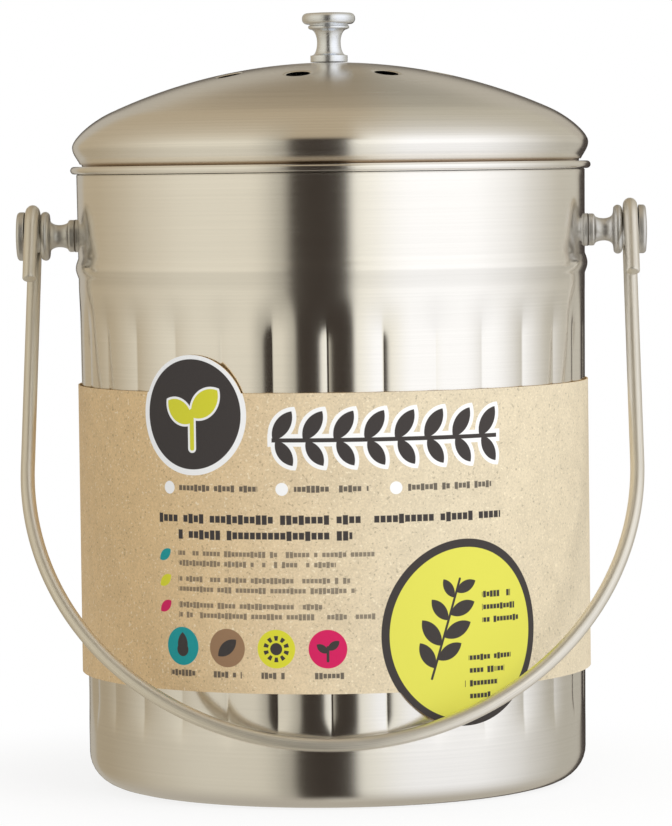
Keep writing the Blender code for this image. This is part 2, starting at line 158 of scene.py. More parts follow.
class BinPostSizes(PropertyGroup):
    drop: length("Drop", "From the rim's top to the line of the posts", 0.0258)
    cap_radius: length("Cap radius", "Radius of the outer cap", 0.0091)
    cap_length: length("Cap length", "Length of the outer cap", 0.0032)
    cap_edge: length("Cap edge", "Rounding of the cap's edge", 0.0012)
    cap_crown: length("Cap crown", "Rise of the cap's middle", 0.0004)
    groove_length: length("Groove length", "Room for the wire", 0.0060)
    shank_radius: length("Shank radius", "Radius that the wire turns on", 0.0062)
    disc_radius: length("Disc radius", "Radius of the disc", 0.00915)
    disc_length: length("Disc length", "Length of the disc", 0.0034)
    disc_edge: length("Disc edge", "Rounding of the disc's edges", 0.0017)
    neck_length: length("Neck length", "Length of the concave neck", 0.0070)
    neck_radius: length("Neck radius", "Radius at the neck's waist", 0.00415)
    neck_disc: length("Neck at disc", "Radius of the neck where it meets the disc", 0.0063)
    collar_radius: length("Collar radius", "Radius of the collar at the wall", 0.0060)
    collar_length: length("Collar length", "Length of the collar", 0.0023)
    collar_edge: length("Collar edge", "Rounding of the collar", 0.0004)


class BinHandleSizes(PropertyGroup):
    wire_radius: length("Wire radius", "Radius of the round wire", 0.0026)
    rest_height: length("Rest height", "Height at which it rests on the wall", 0.0245)
    hook_tail: length("Hook tail", "Straight end of the wire past the post", 0.0235)


class BinSleeveSizes(PropertyGroup):
    low: length("Low edge", "Height of the lower edge", 0.0425)
    height: length("Height", "Height of the band", 0.1072)
    board: length("Board", "Thickness of the board", 0.0005)
    clearance: length("Clearance", "Gap between the wall and the board", 0.0006)
    overlap: length("Overlap", "Width of the glued overlap at the back", 0.0120)
    badge_radius: length("Badge radius", "Radius of the round tab", 0.02125)
    badge_height: length("Badge height", "Height of its middle", 0.1420)
    badge_turn: angle("Badge turn", "Its angle from the front", -31.0)
    oval_half_width: length("Oval half width", "Half width of the oval tab", 0.03175)
    oval_half_height: length("Oval half height", "Half height of the oval tab", 0.0333)
    oval_height: length("Oval height", "Height of its middle", 0.0625)
    oval_turn: angle("Oval turn", "Its angle from the front", 30.2)


class BinColours(PropertyGroup):
    steel: colour("Steel", "Brushed steel of the body and lid", (0.95, 0.93, 0.90))
    aluminium: colour("Aluminium", "Turned aluminium of the knob", (0.87, 0.90, 0.95))
    # Post metal is painted shade: the posts' turned aluminium is made darker than the knob's
    shaded_post_metal: colour("Post metal", "Turned aluminium of the posts", (0.70, 0.69, 0.67))
    joint: colour("Joint", "Dirt between a post and its washer", (0.16, 0.14, 0.12))
    # Lid crevice and ring crevice are painted shade: the dark of the narrow gap where the dome's
    # edge sits over the rim
    lid_gap_painted_shade: colour("Lid crevice", "Dirt under the dome's edge", (0.42, 0.32, 0.23))
    ring_gap_painted_shade: colour("Ring crevice", "Dirt on the inner ring", (0.30, 0.22, 0.15))
    wire: colour("Wire", "Drawn wire of the handle", (0.90, 0.86, 0.78))
    zinc: colour("Zinc", "Plating of the screws", (0.62, 0.62, 0.64))
    felt: colour("Felt", "Charcoal felt of the filter", (0.022, 0.022, 0.024))
    kraft: colour("Kraft", "Board on the left and at the back", (0.67, 0.475, 0.245))
    # Pale kraft is a painted sheen: the board is mixed towards it where the light from the right
    # falls
    painted_sheen_kraft: colour("Pale kraft", "Board on the right of the front", (0.665, 0.575, 0.415))
    pulp: colour("Pulp", "Pale flecks in the board", (0.88, 0.78, 0.58))
    ink: colour("Dark ink", "Dark print", (0.045, 0.038, 0.036))
    white: colour("White ink", "White print", (0.86, 0.86, 0.85))
    lime: colour("Lime ink", "Lime print", (0.64, 0.62, 0.03))
    bright_lime: colour("Bright lime", "Lime print of the oval tab", (0.6784, 0.6572, 0.09))
    magenta: colour("Magenta ink", "Magenta print", (0.60, 0.008, 0.10))
    brown: colour("Brown ink", "Brown print", (0.29, 0.17, 0.09))
    teal: colour("Teal ink", "Teal print", (0.005, 0.29, 0.30))


class BinStudio(PropertyGroup):
    left_panel: colour("Left panel", "Warm panel that the steel mirrors", (0.73, 0.68, 0.56))
    left_end: colour("Left end", "What the steel's left edge mirrors", (0.45, 0.375, 0.26))
    right_start: colour("Right start", "The right panel beside the gap", (0.86, 0.83, 0.73))
    right_panel: colour("Right panel", "White panel that the steel mirrors", (1.0, 1.0, 1.0))
    right_end: colour("Right end", "What the steel's right edge mirrors", (0.50, 0.47, 0.40))
    gap: colour("Gap", "Dark gap between the panels", (0.042, 0.033, 0.026))
    ceiling: colour("Ceiling", "What the lid's crown mirrors", (0.455, 0.375, 0.260))
    right_ceiling: colour("Right ceiling", "The same, on its right", (0.50, 0.46, 0.37))
    surround: colour("Surround", "The floor, and the rim behind the bin", (0.47, 0.43, 0.36))
    outline: colour("Outline", "The dark that draws the bin's outline", (0.035, 0.026, 0.024))
    fill: share("Fill", "Even light on everything that isn't metal", 0.72)


class BinSettings(PropertyGroup):
    body: PointerProperty(type=BinBodySizes)
    lid: PointerProperty(type=BinLidSizes)
    knob: PointerProperty(type=BinKnobSizes)
    post: PointerProperty(type=BinPostSizes)
    handle: PointerProperty(type=BinHandleSizes)
    sleeve: PointerProperty(type=BinSleeveSizes)
    colours: PointerProperty(type=BinColours)
    studio: PointerProperty(type=BinStudio)


def settings():
    return bpy.context.scene.compost_bin


# Shapes


def stacked(*parts):
    """Points from their coordinates, each a number or an array."""
    return np.stack(np.broadcast_arrays(*parts), -1)


def smooth(part):
    """Ease from 0 to 1, flat at both ends: three squares less two cubes of the share."""
    part = np.clip(part, 0, 1)
    return part * part * (3 - 2 * part)


def from_turn(turns, middle):
    """How far each turn is from the middle, between minus and plus half a turn."""
    return (turns - middle + np.pi) % (2 * np.pi) - np.pi


def wall_radius(z):
    """Outside radius of the plain wall: it grows evenly from the foot to the mouth."""
    body = settings().body
    part = (z - body.corner_radius) / (body.height - body.corner_radius)
    return body.foot_radius + (body.mouth_radius - body.foot_radius) * part


def pivot_height():
    """Height of the line through the two posts."""
    return settings().body.height - settings().post.drop


def post_seat():
    """Distance from the bin's axis to the inner end of a post."""
    return wall_radius(pivot_height()) + washer_thickness + 2 * fit_gap


def post_length():
    post = settings().post
    return (post.collar_length + post.neck_length + post.disc_length + post.groove_length
            + post.cap_length)


def sleeve_inside():
    """Inner radius of the board: the widest wall under it and the gap."""
    sleeve = settings().sleeve
    edges = np.array((sleeve.low, sleeve.low + sleeve.height))
    return wall_radius(edges).max() + sleeve.clearance


def arc(centre_r, centre_z, radius, start, end, parts):
    """Points at even angles on a circle round (centre_r, centre_z), from start to end degrees."""
    angles = np.radians(np.linspace(start, end, parts + 1))
    return stacked(centre_r + radius * np.cos(angles), centre_z + radius * np.sin(angles))


def bezier(start, start_handle, end_handle, end, parts):
    """Points of the cubic curve that weights its four control points with powers of t and 1 - t."""
    t = np.linspace(0, 1, parts + 1)[:, None]
    weights = ((1 - t) ** 3, 3 * t * (1 - t) ** 2, 3 * t ** 2 * (1 - t), t ** 3)
    controls = (start, start_handle, end_handle, end)
    return sum(weight * control for weight, control in zip(weights, controls))


def eased(corners, radius, parts=3, closed=True):
    """The polygon with each corner replaced by a parabola that starts and ends radius away.

    A point on it weights the corner with 2t(1 - t) and the two ends with squares of 1 - t and t.
    """
    corners = np.array(corners)
    t = np.linspace(0, 1, parts + 1)[:, None]
    bends = 2 * t * (1 - t) * corners[:, None]
    for shift, weight in ((1, (1 - t) ** 2), (-1, t ** 2)):
        edge = np.roll(corners, shift, 0) - corners
        reach = np.minimum(radius / np.hypot(*edge.T), 0.5)
        bends = bends + weight * (corners + edge * reach[:, None])[:, None]
    if not closed:
        return np.vstack((corners[:1], bends[1:-1].reshape(-1, 2), corners[-1:]))
    return np.vstack((bends.reshape(-1, 2), bends[0, :1]))


def cap_top(radius, top, edge, crown, parts):
    """From the axis outwards, a face that falls with the radius squared, and its round edge."""
    part = np.linspace(0, 1, 9)[:-1]
    flat = radius - edge
    return np.vstack((
        stacked(flat * part, top - crown * part ** 2),
        arc(flat, top - crown - edge, edge, 90, 0, parts),
    ))


def concave_neck(low, high, neck_radius, low_radius, high_radius, parts):
    """A waist between two discs, from the upper one down.

    Its radius grows to each side by 1 less a circle's height.
    """
    along = np.linspace(1, -1, parts + 1)
    bulge = 1 - np.sqrt(1 - along ** 2)
    side = np.where(along > 0, high_radius, low_radius)
    return stacked(
        neck_radius + (side - neck_radius) * bulge, (low + high) / 2 + (high - low) / 2 * along
    )


def with_bore(profile):
    """The profile, which ends on its seat, carried up a blind bore to the axis."""
    round_off = 0.2 * mm
    return np.vstack((
        profile, (bore_radius + round_off, profile[-1][1]),
        (bore_radius, profile[-1][1] + round_off), (bore_radius, bore_depth), (0, bore_depth),
    ))


def grid_faces(rows, columns):
    """Corner numbers of the faces between the rows of a grid that is closed round."""
    low = np.arange(rows - 1)[:, None] * columns
    column = np.arange(columns)
    after = (column + 1) % columns
    return stacked(
        low + column, low + after, low + columns + after, low + columns + column
    ).reshape(-1, 4)


def spun(profile, turns, dent=0):
    """The profile turned round Z: each radius times the cosine and sine of the angle.

    Turns is the angles or their number, and dent comes off the radius.
    """
    if isinstance(turns, int):
        turns = np.linspace(0, 2 * np.pi, turns, endpoint=False)
    radius, z = profile.T[..., None]
    radius = radius - dent
    points = stacked(radius * np.cos(turns), radius * np.sin(turns), z)
    return points.reshape(-1, 3), grid_faces(len(profile), turns.size)


def sideways(shape, seat, side):
    """A shape made round +Z, raised to its seat and turned to point along +X or -X."""
    points, faces = shape
    x, y, z = points.T
    return stacked(side * (z + seat), y, -side * x), faces


def punched(shape, flat, columns, block, middle, radius, rings, raised):
    """A grid whose block of faces closes in from its border to a round hole.

    Each border point moves straight towards the point of the circle in its own direction.
    The block is its first and last row and column. Flat has the points as seen along the
    hole, and raised gives the new ones their places in space.
    """
    points, faces = shape
    first_row, last_row, first_column, last_column = block
    rows, across = np.arange(first_row, last_row), np.arange(first_column, last_column)
    row = np.concatenate((rows, 0 * across + last_row, rows[::-1] + 1, 0 * across + first_row))
    column = np.concatenate(
        (0 * rows + first_column, across, 0 * rows + last_column, across[::-1] + 1)
    )
    border = row * columns + column % columns
    start = flat[border]
    away = start - middle
    end = middle + radius * away / np.hypot(*away.T)[:, None]
    part = 1 - (1 - np.arange(1, rings + 1) / rings) ** 1.6
    new = start + (end - start) * part[:, None, None]

    numbers = len(points) + np.arange(rings * border.size).reshape(rings, -1)
    numbers = np.vstack((border, numbers))
    after = np.roll(numbers, -1, 1)
    ring = stacked(numbers[:-1], numbers[1:], after[1:], after[:-1]).reshape(-1, 4)
    row, column = np.divmod(faces[:, 0], columns)
    inside = (column - first_column) % columns < last_column - first_column
    inside = inside & (row >= first_row) & (row < last_row)
    return np.vstack((points, raised(new).reshape(-1, 3))), np.vstack((faces[~inside], ring))


def new_piece(name, shape, finish, place=(0, 0, 0), uv=None, sheet_side=0):
    """A piece of these points and faces, with the points that fall together merged.

    A shape that is one face of a sheet is thickened to the side given.
    """
    points, faces = shape
    mesh = bpy.data.meshes.new(name)
    used, numbers = np.unique(faces, return_inverse=True)
    mesh.from_pydata((points + place)[used], [], numbers.reshape(faces.shape))
    if uv is not None:
        mesh.uv_layers.new(name="flat").data.foreach_set("uv", uv[faces].ravel())
    bm = bmesh.new()
    bm.from_mesh(mesh)
    bmesh.ops.remove_doubles(bm, verts=bm.verts, dist=weld_distance)
    if not sheet_side:
        bmesh.ops.recalc_face_normals(bm, faces=bm.faces)
    bm.to_mesh(mesh)
    bm.free()
    mesh.shade_smooth()
    mesh.materials.append(finish)
    piece = bpy.data.objects.new(name, mesh)
    bpy.context.scene.collection.objects.link(piece)
    if sheet_side:
        sheet = piece.modifiers.new("Sheet", "SOLIDIFY")
        sheet.thickness = steel_sheet
        sheet.offset = sheet_side
        sheet.use_even_offset = True
        evaluated = piece.evaluated_get(bpy.context.evaluated_depsgraph_get())
        solid = bpy.data.meshes.new_from_object(evaluated)
        piece.modifiers.clear()
        piece.data = solid
        solid.name = name
    return piece


def stand_in(piece, body, node):
    """Mark the piece's sharp edges and put it in the CAD node's place."""
    piece.data.set_sharp_from_angle(angle=sharp_angle)
    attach(piece, body)
    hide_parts(node)


def body_profile():
    """Inner face of the sheet from the middle of the base, up the wall and round the rim.

    With it comes the number of the first row round the posts' holes.
    """
    body = settings().body

    def on_wall(heights, proud=0):
        return stacked(wall_radius(heights) - steel_sheet + proud, heights)

    base_radius = body.foot_radius - body.corner_radius
    flutes_low = body.flute_foot + body.flute_fade
    head = body.height - body.flute_head_drop
    flutes_high = head - max(body.flute_head_fade, body.crease_drop + body.crease_fade)
    flute_heights = np.concatenate((
        np.linspace(body.flute_foot, flutes_low, 11),
        np.linspace(flutes_low, flutes_high, 13)[1:-1],
        np.linspace(flutes_high, head, 15),
    ))
    along = np.linspace(-1, 1, 13)
    neck = body.height - body.rim_height - steel_sheet
    neck_span = 6 * mm
    roll = body.rim_height / 2
    roll_height = body.height - roll
    rows = (
        stacked(np.linspace(0, base_radius, 8), steel_sheet),
        arc(base_radius, body.corner_radius, body.corner_radius - steel_sheet, -90, 0, 9)[1:],
        on_wall(flute_heights),
        on_wall(body.height - body.bead_drop + body.bead_width / 2 * along,
                body.bead_proud * np.cos(np.pi / 2 * along) ** 1.25),
        on_wall(pivot_height() + hole_reach * np.linspace(-1, 1, hole_rows + 1)),
        on_wall(np.array((neck - neck_span, neck))),
        arc(body.mouth_radius - body.rim_inset + roll, roll_height, roll, 240, 90, 9),
        arc(body.mouth_radius + body.rim_reach - roll, roll_height, roll, 90, -90, 12),
        (body.mouth_radius + body.rim_lip_gap, body.height - body.rim_height),
    )
    return np.vstack(rows), sum(map(len, rows[:4]))


def flute_dent(turn, z):
    """How far the sheet is pressed in at each angle and height.

    The depth, faded out at both ends of the flutes, times a share that is 1 in the valleys
    and 0 on the crests. Along the flutes the share is the square of the distance from the
    crest, which makes a crease of each valley, and at their heads it turns into a cosine.
    """
    body = settings().body
    phase = (turn + np.pi / 2) * body.flute_count / (2 * np.pi)
    from_crest = 2 * (phase % 1) - 1
    head = body.height - body.flute_head_drop
    fade = smooth((z - body.flute_foot) / body.flute_fade)
    fade = fade * smooth((head - z) / body.flute_head_fade)
    crease = smooth((head - body.crease_drop - z) / body.crease_fade)
    round_valley = (1 - np.cos(np.pi * from_crest)) / 2
    return body.flute_depth * fade * (round_valley + (from_crest ** 2 - round_valley) * crease)


class BinMakeBody(Operator):
    """Make the fluted steel body with its bead, rolled rim and the holes for the posts"""
    bl_idname = "compost_bin.make_body"
    bl_label = "Body"

    def execute(self, context):
        flutes, half, rings = settings().body.flute_count, 2, 4
        profile, first_row = body_profile()
        # The columns stand closest together at the creases
        shares = np.array((0, 0.03, 0.1, 0.25, 0.5, 0.75, 0.9, 0.97))
        turns = (np.arange(flutes)[:, None] + shares).ravel() * 2 * np.pi / flutes - np.pi / 2
        shape = spun(profile, turns, flute_dent(turns, profile[:, 1:]))
        pivot = pivot_height()
        inside = wall_radius(pivot) - steel_sheet
        for facing in (0, np.pi):
            column = int(np.argmin(np.abs(from_turn(turns, facing))))
            x, y, z = shape[0].T
            flat = stacked(from_turn(np.arctan2(y, x), facing) * inside, z)

            def on_wall(new):
                across, height = np.moveaxis(new, -1, 0)
                radius, turn = wall_radius(height) - steel_sheet, facing + across / inside
                return stacked(radius * np.cos(turn), radius * np.sin(turn), height)

            block = (first_row, first_row + hole_rows, column - half, column + half)
            middle = np.array((0, pivot))
            shape = punched(shape, flat, turns.size, block, middle, bore_radius, rings, on_wall)
        piece = new_piece("pail_body", shape, finish("wall_steel", brushed_steel), sheet_side=1)
        stand_in(piece, "bin", "bin_body")
        return {"FINISHED"}


def crown_height(radius):
    """Height of the crown's sphere above the rim at a radius: its centre plus a circle's height."""
    lid = settings().lid
    drop = lid.crown_radius - math.sqrt(lid.crown_radius ** 2 - lid.seat_radius ** 2)
    centre = lid.rise + drop - lid.crown_radius
    return np.minimum(centre + np.sqrt(lid.crown_radius ** 2 - radius ** 2), lid.rise)


def dome_profile(vent_rows):
    """Outer face of the dome from its tucked-in edge, over the shoulder, to the knob's hole.

    Two cubic curves meet upright at the waist. Their handles are shares of their spans.
    """
    lid, body = settings().lid, settings().body
    waist = np.array((body.mouth_radius + lid.overhang, lid.waist_height))
    edge = np.array((body.mouth_radius - body.rim_inset + lid.edge_cover, lid.edge_height))
    shoulder_radius = waist[0] - lid.shoulder_width
    shoulder = np.array((shoulder_radius, crown_height(shoulder_radius)))
    slope = math.asin(shoulder_radius / lid.crown_radius)
    down_slope = np.array((math.cos(slope), -math.sin(slope)))

    span = math.dist(waist, edge)
    edge_way = np.array((0.466, 1))
    tuck = bezier(edge, edge + 0.298 * span * edge_way, waist - (0, 0.364 * span), waist, 8)
    span = math.dist(shoulder, waist)
    upper = bezier(
        waist, waist + (0, 0.166 * span), shoulder + 0.415 * span * down_slope, shoulder, 18
    )
    above_vents = np.linspace(shoulder_radius, vent_rows[0], 12)[1:]
    radii = np.concatenate((
        above_vents, vent_rows[1:], np.linspace(vent_rows[-1], lid.seat_radius, 9)[1:],
        np.linspace(lid.seat_radius, bore_radius, 4)[1:],
    ))
    profile = np.vstack((tuck, upper[1:], stacked(radii, crown_height(radii))))
    return profile, len(tuck) + len(upper[1:]) + len(above_vents) - 1


class BinMakeDome(Operator):
    """Make the dome of the lid with its ring of vent holes and the hole for the knob's screw"""
    bl_idname = "compost_bin.make_dome"
    bl_label = "Lid dome"

    def execute(self, context):
        lid, height = settings().lid, settings().body.height
        half, columns_between, rings = 5, 24, 7
        draw_depth, draw_reach = 0.3 * mm, 1.1 * mm
        vent_rows = lid.vent_circle + np.linspace(hole_reach, -hole_reach, 2 * half + 1)
        profile, first_row = dome_profile(vent_rows)
        columns = columns_between * lid.vent_count
        turns = np.linspace(0, 2 * np.pi, columns, endpoint=False)
        turns = turns + 2 * np.pi / lid.vent_count * lid.vent_turn - np.pi / 2
        shape = spun(profile, turns)
        for column in range(0, columns, columns_between):
            middle = lid.vent_circle * np.array((np.cos(turns[column]), np.sin(turns[column])))

            def on_crown(new):
                # The punch draws the edge of each hole down a little
                from_hole = np.hypot(*np.moveaxis(new - middle, -1, 0)) - lid.vent_radius
                drawn = draw_depth * np.clip(1 - from_hole / draw_reach, 0, 1) ** 2
                return np.dstack((new, crown_height(np.hypot(*np.moveaxis(new, -1, 0))) - drawn))

            block = (first_row, first_row + 2 * half, column - half, column + half)
            shape = punched(
                shape, shape[0][:, :2], columns, block, middle, lid.vent_radius, rings, on_crown
            )
        # Painted shade: the dome darkens over its lowest millimetres, into the gap over the rim
        crevice = (height + 1.8 * mm, height + 0.6 * mm)
        steel = finish("lid_steel", brushed_steel, crevice, settings().colours.lid_gap_painted_shade, True)
        piece = new_piece("lid_crown", shape, steel, (0, 0, height), sheet_side=-1)
        stand_in(piece, "lid", "lid_dome")
        return {"FINISHED"}


class BinMakeLidInside(Operator):
    """Make the inner ring of the lid and the charcoal felt that it holds"""
    bl_idname = "compost_bin.make_lid_inside"
    bl_label = "Inner ring and filter"

    def execute(self, context):
        lid, body = settings().lid, settings().body
        outside = body.mouth_radius - body.rim_inset - fit_gap
        inside = outside - steel_sheet
        bead = outside + lid.ring_bead_proud
        low, high = fit_gap, fit_gap + lid.ring_bead_height
        rounding, columns = 0.22 * mm, 180
        profile = eased([
            (outside, -lid.ring_depth), (outside, low), (bead, low), (bead, high),
            (outside, high), (outside, lid.ring_rise), (inside, lid.ring_rise),
            (inside, -lid.ring_depth),
        ], rounding)
        # Painted shade: the ring darkens towards its top, in the gap under the dome's edge
        crevice = (body.height - 0.8 * mm, body.height)
        steel = finish("ring_steel", brushed_steel, crevice, settings().colours.ring_gap_painted_shade)
        ring = new_piece("lid_skirt", spun(profile, columns), steel, (0, 0, body.height))
        stand_in(ring, "lid", "lid_inner_ring")

        low = lid.filter_recess - lid.ring_depth
        high = low + lid.filter_thickness
        radius = inside - fit_gap
        border, rounding, fibre_depth, columns = 1.2 * mm, 1.0 * mm, 0.09 * mm, 240
        flat = radius - border
        radii = np.linspace(0, flat, 60)
        edge = eased(
            [(flat, high), (radius, high), (radius, low), (flat, low)], rounding, 5, False
        )
        profile = np.vstack((stacked(radii, high), edge[1:-1], stacked(radii[::-1], low)))
        points, faces = spun(profile, columns)
        # Matted fibre: waves of three lengths that cross each other, only ever pressed inwards
        x, y = (points[:, :2] / mm).T
        waves = (
            np.sin(1.9 * x + 0.7 * y) * np.sin(1.7 * y - 0.9 * x)
            + np.sin(0.61 * x - 0.33 * y + 1) * np.sin(0.57 * y + 0.29 * x)
            + 0.6 * np.sin(4.3 * x + 3.1 * y) * np.sin(3.9 * y - 2.7 * x)
        )
        pressed = fibre_depth * (1 + waves / 2.6)
        points[:, 2] += np.where(points[:, 2] > (low + high) / 2, -pressed, pressed)
        felt = finish("charcoal_fibre", charcoal_felt)
        pad = new_piece("filter_felt", (points, faces), felt, (0, 0, body.height))
        stand_in(pad, "filter", "carbon_filter")
        return {"FINISHED"}


class BinMakeKnob(Operator):
    """Make the turned aluminium knob on the crown"""
    bl_idname = "compost_bin.make_knob"
    bl_label = "Knob"

    def execute(self, context):
        knob = settings().knob
        cap_low = knob.height - knob.cap_height
        bead_high = cap_low - knob.groove_height
        bead_low = bead_high - knob.bead_height
        flat, half = knob.cap_radius - knob.cap_edge, knob.bead_height / 2
        rounding = 0.25 * mm
        profile = np.vstack((
            cap_top(knob.cap_radius, knob.height, knob.cap_edge, knob.cap_crown, 9),
            arc(flat, cap_low + knob.cap_edge, knob.cap_edge, 0, -90, 9),
            (knob.groove_radius, cap_low), (knob.groove_radius, bead_high),
            arc(knob.bead_radius - half, bead_low + half, half, 90, -90, 10),
            concave_neck(knob.foot_height, bead_low, knob.neck_radius, knob.neck_foot,
                         knob.groove_radius, 28),
            eased([(knob.neck_foot, knob.foot_height), (knob.foot_radius, knob.foot_height),
                   (knob.foot_radius, 0), (bore_mouth, 0)], rounding, 4, False),
        ))
        place = (0, 0, settings().body.height + settings().lid.rise + fit_gap)
        piece = new_piece("knob", spun(with_bore(profile), turned_columns), knob_finish(), place)
        stand_in(piece, "lid", "lid_knob")
        return {"FINISHED"}


class BinMakePosts(Operator):
    """Make the two turned posts that carry the handle"""
    bl_idname = "compost_bin.make_posts"
    bl_label = "Handle posts"

    def execute(self, context):
        post = settings().post
        cap_low = post_length() - post.cap_length
        disc_high = cap_low - post.groove_length
        disc_low = disc_high - post.disc_length
        disc, collar = post.disc_radius - post.disc_edge, post.collar_radius - post.collar_edge
        rounding = 0.3 * mm
        cap = cap_top(post.cap_radius, post_length(), post.cap_edge, post.cap_crown, 8)
        groove = eased([
            cap[-1], (post.cap_radius, cap_low), (post.shank_radius, cap_low),
            (post.shank_radius, disc_high), (disc, disc_high),
        ], rounding, 4, False)
        profile = np.vstack((
            cap[:-1], groove[:-1],
            arc(disc, disc_high - post.disc_edge, post.disc_edge, 90, 0, 8),
            arc(disc, disc_low + post.disc_edge, post.disc_edge, 0, -60, 6)[1:],
            concave_neck(
                post.collar_length, disc_low, post.neck_radius, collar, post.neck_disc, 24
            ),
            eased([(collar, post.collar_length),
                   (post.collar_radius, post.collar_length - post.collar_edge),
                   (post.collar_radius, 0), (bore_mouth, 0)], post.collar_edge, 4, False),
        ))
        shape = spun(with_bore(profile), turned_columns)
        for name, side in sides:
            piece = new_piece(
                f"{name}_post", sideways(shape, post_seat(), side), post_finish(),
                (0, 0, pivot_height()),
            )
            stand_in(piece, "bin", f"{name}_handle_post")
        return {"FINISHED"}


def screw_shape(stack):
    """A pan-head screw that bears at z = 0, with its thread up and its head below.

    The thread is a ripple of the shank's radius that follows the angle as it climbs. The
    cross in the head is pressed in where a point lies within either of two crossed bars.
    """
    head_radius, head_height, shank, grip = 4.0 * mm, 2.6 * mm, 2.0 * mm, 8.0 * mm
    tip, thread_start, pitch, thread_depth = 0.5 * mm, 0.4 * mm, 0.7 * mm, 0.28 * mm
    bar_half_width, bar_half_length, bar_depth, soft = 0.5 * mm, 2.2 * mm, 1.2 * mm, 0.12 * mm
    bevel, face_depth, columns, thread_rows = 0.15 * mm, 0.5 * mm, fastener_columns, 90
    total = stack + grip
    edge = head_height * 0.6
    profile = np.vstack((
        (0, total), (shank - tip, total),
        stacked(shank, np.linspace(total - tip, thread_start, thread_rows)),
        (shank, 0), (head_radius - bevel, 0), (head_radius, -bevel),
        arc(head_radius - edge, edge - head_height, edge, 0, -90, 8)[1:],
        stacked(np.linspace(head_radius - edge, 0, 26), -head_height)[1:],
    ))
    points, faces = spun(profile, columns)
    points = points.reshape(-1, columns, 3)
    thread = points[2:2 + thread_rows]
    phase = (thread[..., 2] / pitch - np.linspace(0, 1, columns, endpoint=False)) % 1
    thread[..., :2] *= (1 - thread_depth * np.abs(2 * phase - 1) / shank)[..., None]
    across = np.abs(points[..., :2])
    bars = smooth((bar_half_width - across) / soft + 0.5) * smooth(
        (bar_half_length - across[..., ::-1]) / soft + 0.5
    )
    on_face = points[..., 2] < -head_height + face_depth
    points[..., 2] += np.where(on_face, bar_depth * bars.max(-1), 0)
    return points.reshape(-1, 3), faces


def washer_shape(thickness):
    """A flat ring with eased edges: a rectangle turned round Z."""
    rounding = 0.18 * mm
    corners = [(bore_radius, 0), (washer_radius, 0),
               (washer_radius, thickness), (bore_radius, thickness)]
    return spun(eased(corners, rounding), fastener_columns)


class BinMakeFasteners(Operator):
    """Make the screws and washers of the posts and of the knob"""
    bl_idname = "compost_bin.make_fasteners"
    bl_label = "Screws and washers"

    def execute(self, context):
        wall = wall_radius(pivot_height())
        inner_seat = math.sqrt((wall - steel_sheet) ** 2 - washer_radius ** 2)
        inner_seat -= fit_gap + washer_thickness
        head_seat = inner_seat - fit_gap
        # The outer washer reaches the curved wall all round, and the post
        sunk = 0.2 * mm
        outer_seat = wall - sunk
        turned, zinc = post_finish(), finish("zinc_plating", zinc_plating)
        parts = (
            ("outer_ring", "outer_washer", "turned_aluminium", turned, outer_seat,
             washer_shape(post_seat() - outer_seat)),
            ("inner_ring", "inner_washer", "turned_aluminium", turned, inner_seat,
             washer_shape(washer_thickness)),
            ("screw", "post_screw", "plated_screw", zinc, head_seat,
             screw_shape(post_seat() - head_seat)),
        )
        for name, side in sides:
            for piece_name, node, slot, metal, seat, shape in parts:
                piece = new_piece(
                    f"{name}_{piece_name}", sideways(shape, seat, side), metal,
                    (0, 0, pivot_height()),
                )
                stand_in(piece, "bin", f"{name}_{node}")

        rise, height = settings().lid.rise, settings().body.height
        seat = rise - steel_sheet - fit_gap - washer_thickness
        piece = new_piece(
            "knob_ring", washer_shape(washer_thickness), knob_finish(), (0, 0, height + seat)
        )
        stand_in(piece, "lid", "knob_washer")
        seat -= fit_gap
        shape = screw_shape(rise + fit_gap - seat)
        piece = new_piece("crown_screw", shape, zinc, (0, 0, height + seat))
        stand_in(piece, "lid", "knob_screw")
        return {"FINISHED"}


def handle_path(step):
    """Centre line of the wire, its direction and its outward side, at even steps.

    In front of a post the wire runs straight up, over the post in a half circle, straight
    down as an arm, and then through half a circle to the other arm and post.
    """
    post, handle = settings().post, settings().handle
    half_width = post_seat() + post_length() - post.cap_length - post.groove_length / 2
    hook = post.shank_radius + fit_gap + handle.wire_radius
    front = wall_radius(handle.rest_height) + fit_gap + handle.wire_radius
    drop = pivot_height() - handle.rest_height
    arm = math.sqrt(front ** 2 + drop ** 2 - hook ** 2) - half_width
    tilt = math.atan2(front, drop) + math.asin(hook / math.hypot(front, drop))

    def even(span):
        return np.linspace(0, 1, max(int(round(span / step)), 1) + 1)

    # Place and direction in the plane of the right hook and arm, upright
    turn = np.pi * (1 - even(np.pi * hook)[1:])
    y, z, y_way, z_way = np.vstack((
        stacked(-hook, handle.hook_tail * (even(handle.hook_tail) - 1), 0, 1),
        stacked(hook * np.cos(turn), hook * np.sin(turn), np.sin(turn), -np.cos(turn)),
        stacked(hook, -arm * even(arm)[1:], 0, -1),
    )).T
    right, right_way = stacked(half_width, y, z), stacked(0, y_way, z_way)
    right_out = stacked(1, 0, 0 * z)
    turn = -np.pi * even(np.pi * half_width)[1:-1]
    bend_out = stacked(np.cos(turn), 0, np.sin(turn))
    bend = half_width * bend_out + (0, hook, -arm)
    bend_way = stacked(np.sin(turn), 0, -np.cos(turn))

    path = np.vstack((right, bend, right[::-1] * (-1, 1, 1)))
    way = np.vstack((right_way, bend_way, -right_way[::-1]))
    out = np.vstack((right_out, bend_out, -right_out))
    lean = np.array(Matrix.Rotation(-tilt, 3, "X")).T
    return path @ lean + (0, 0, pivot_height()), way @ lean, out @ lean


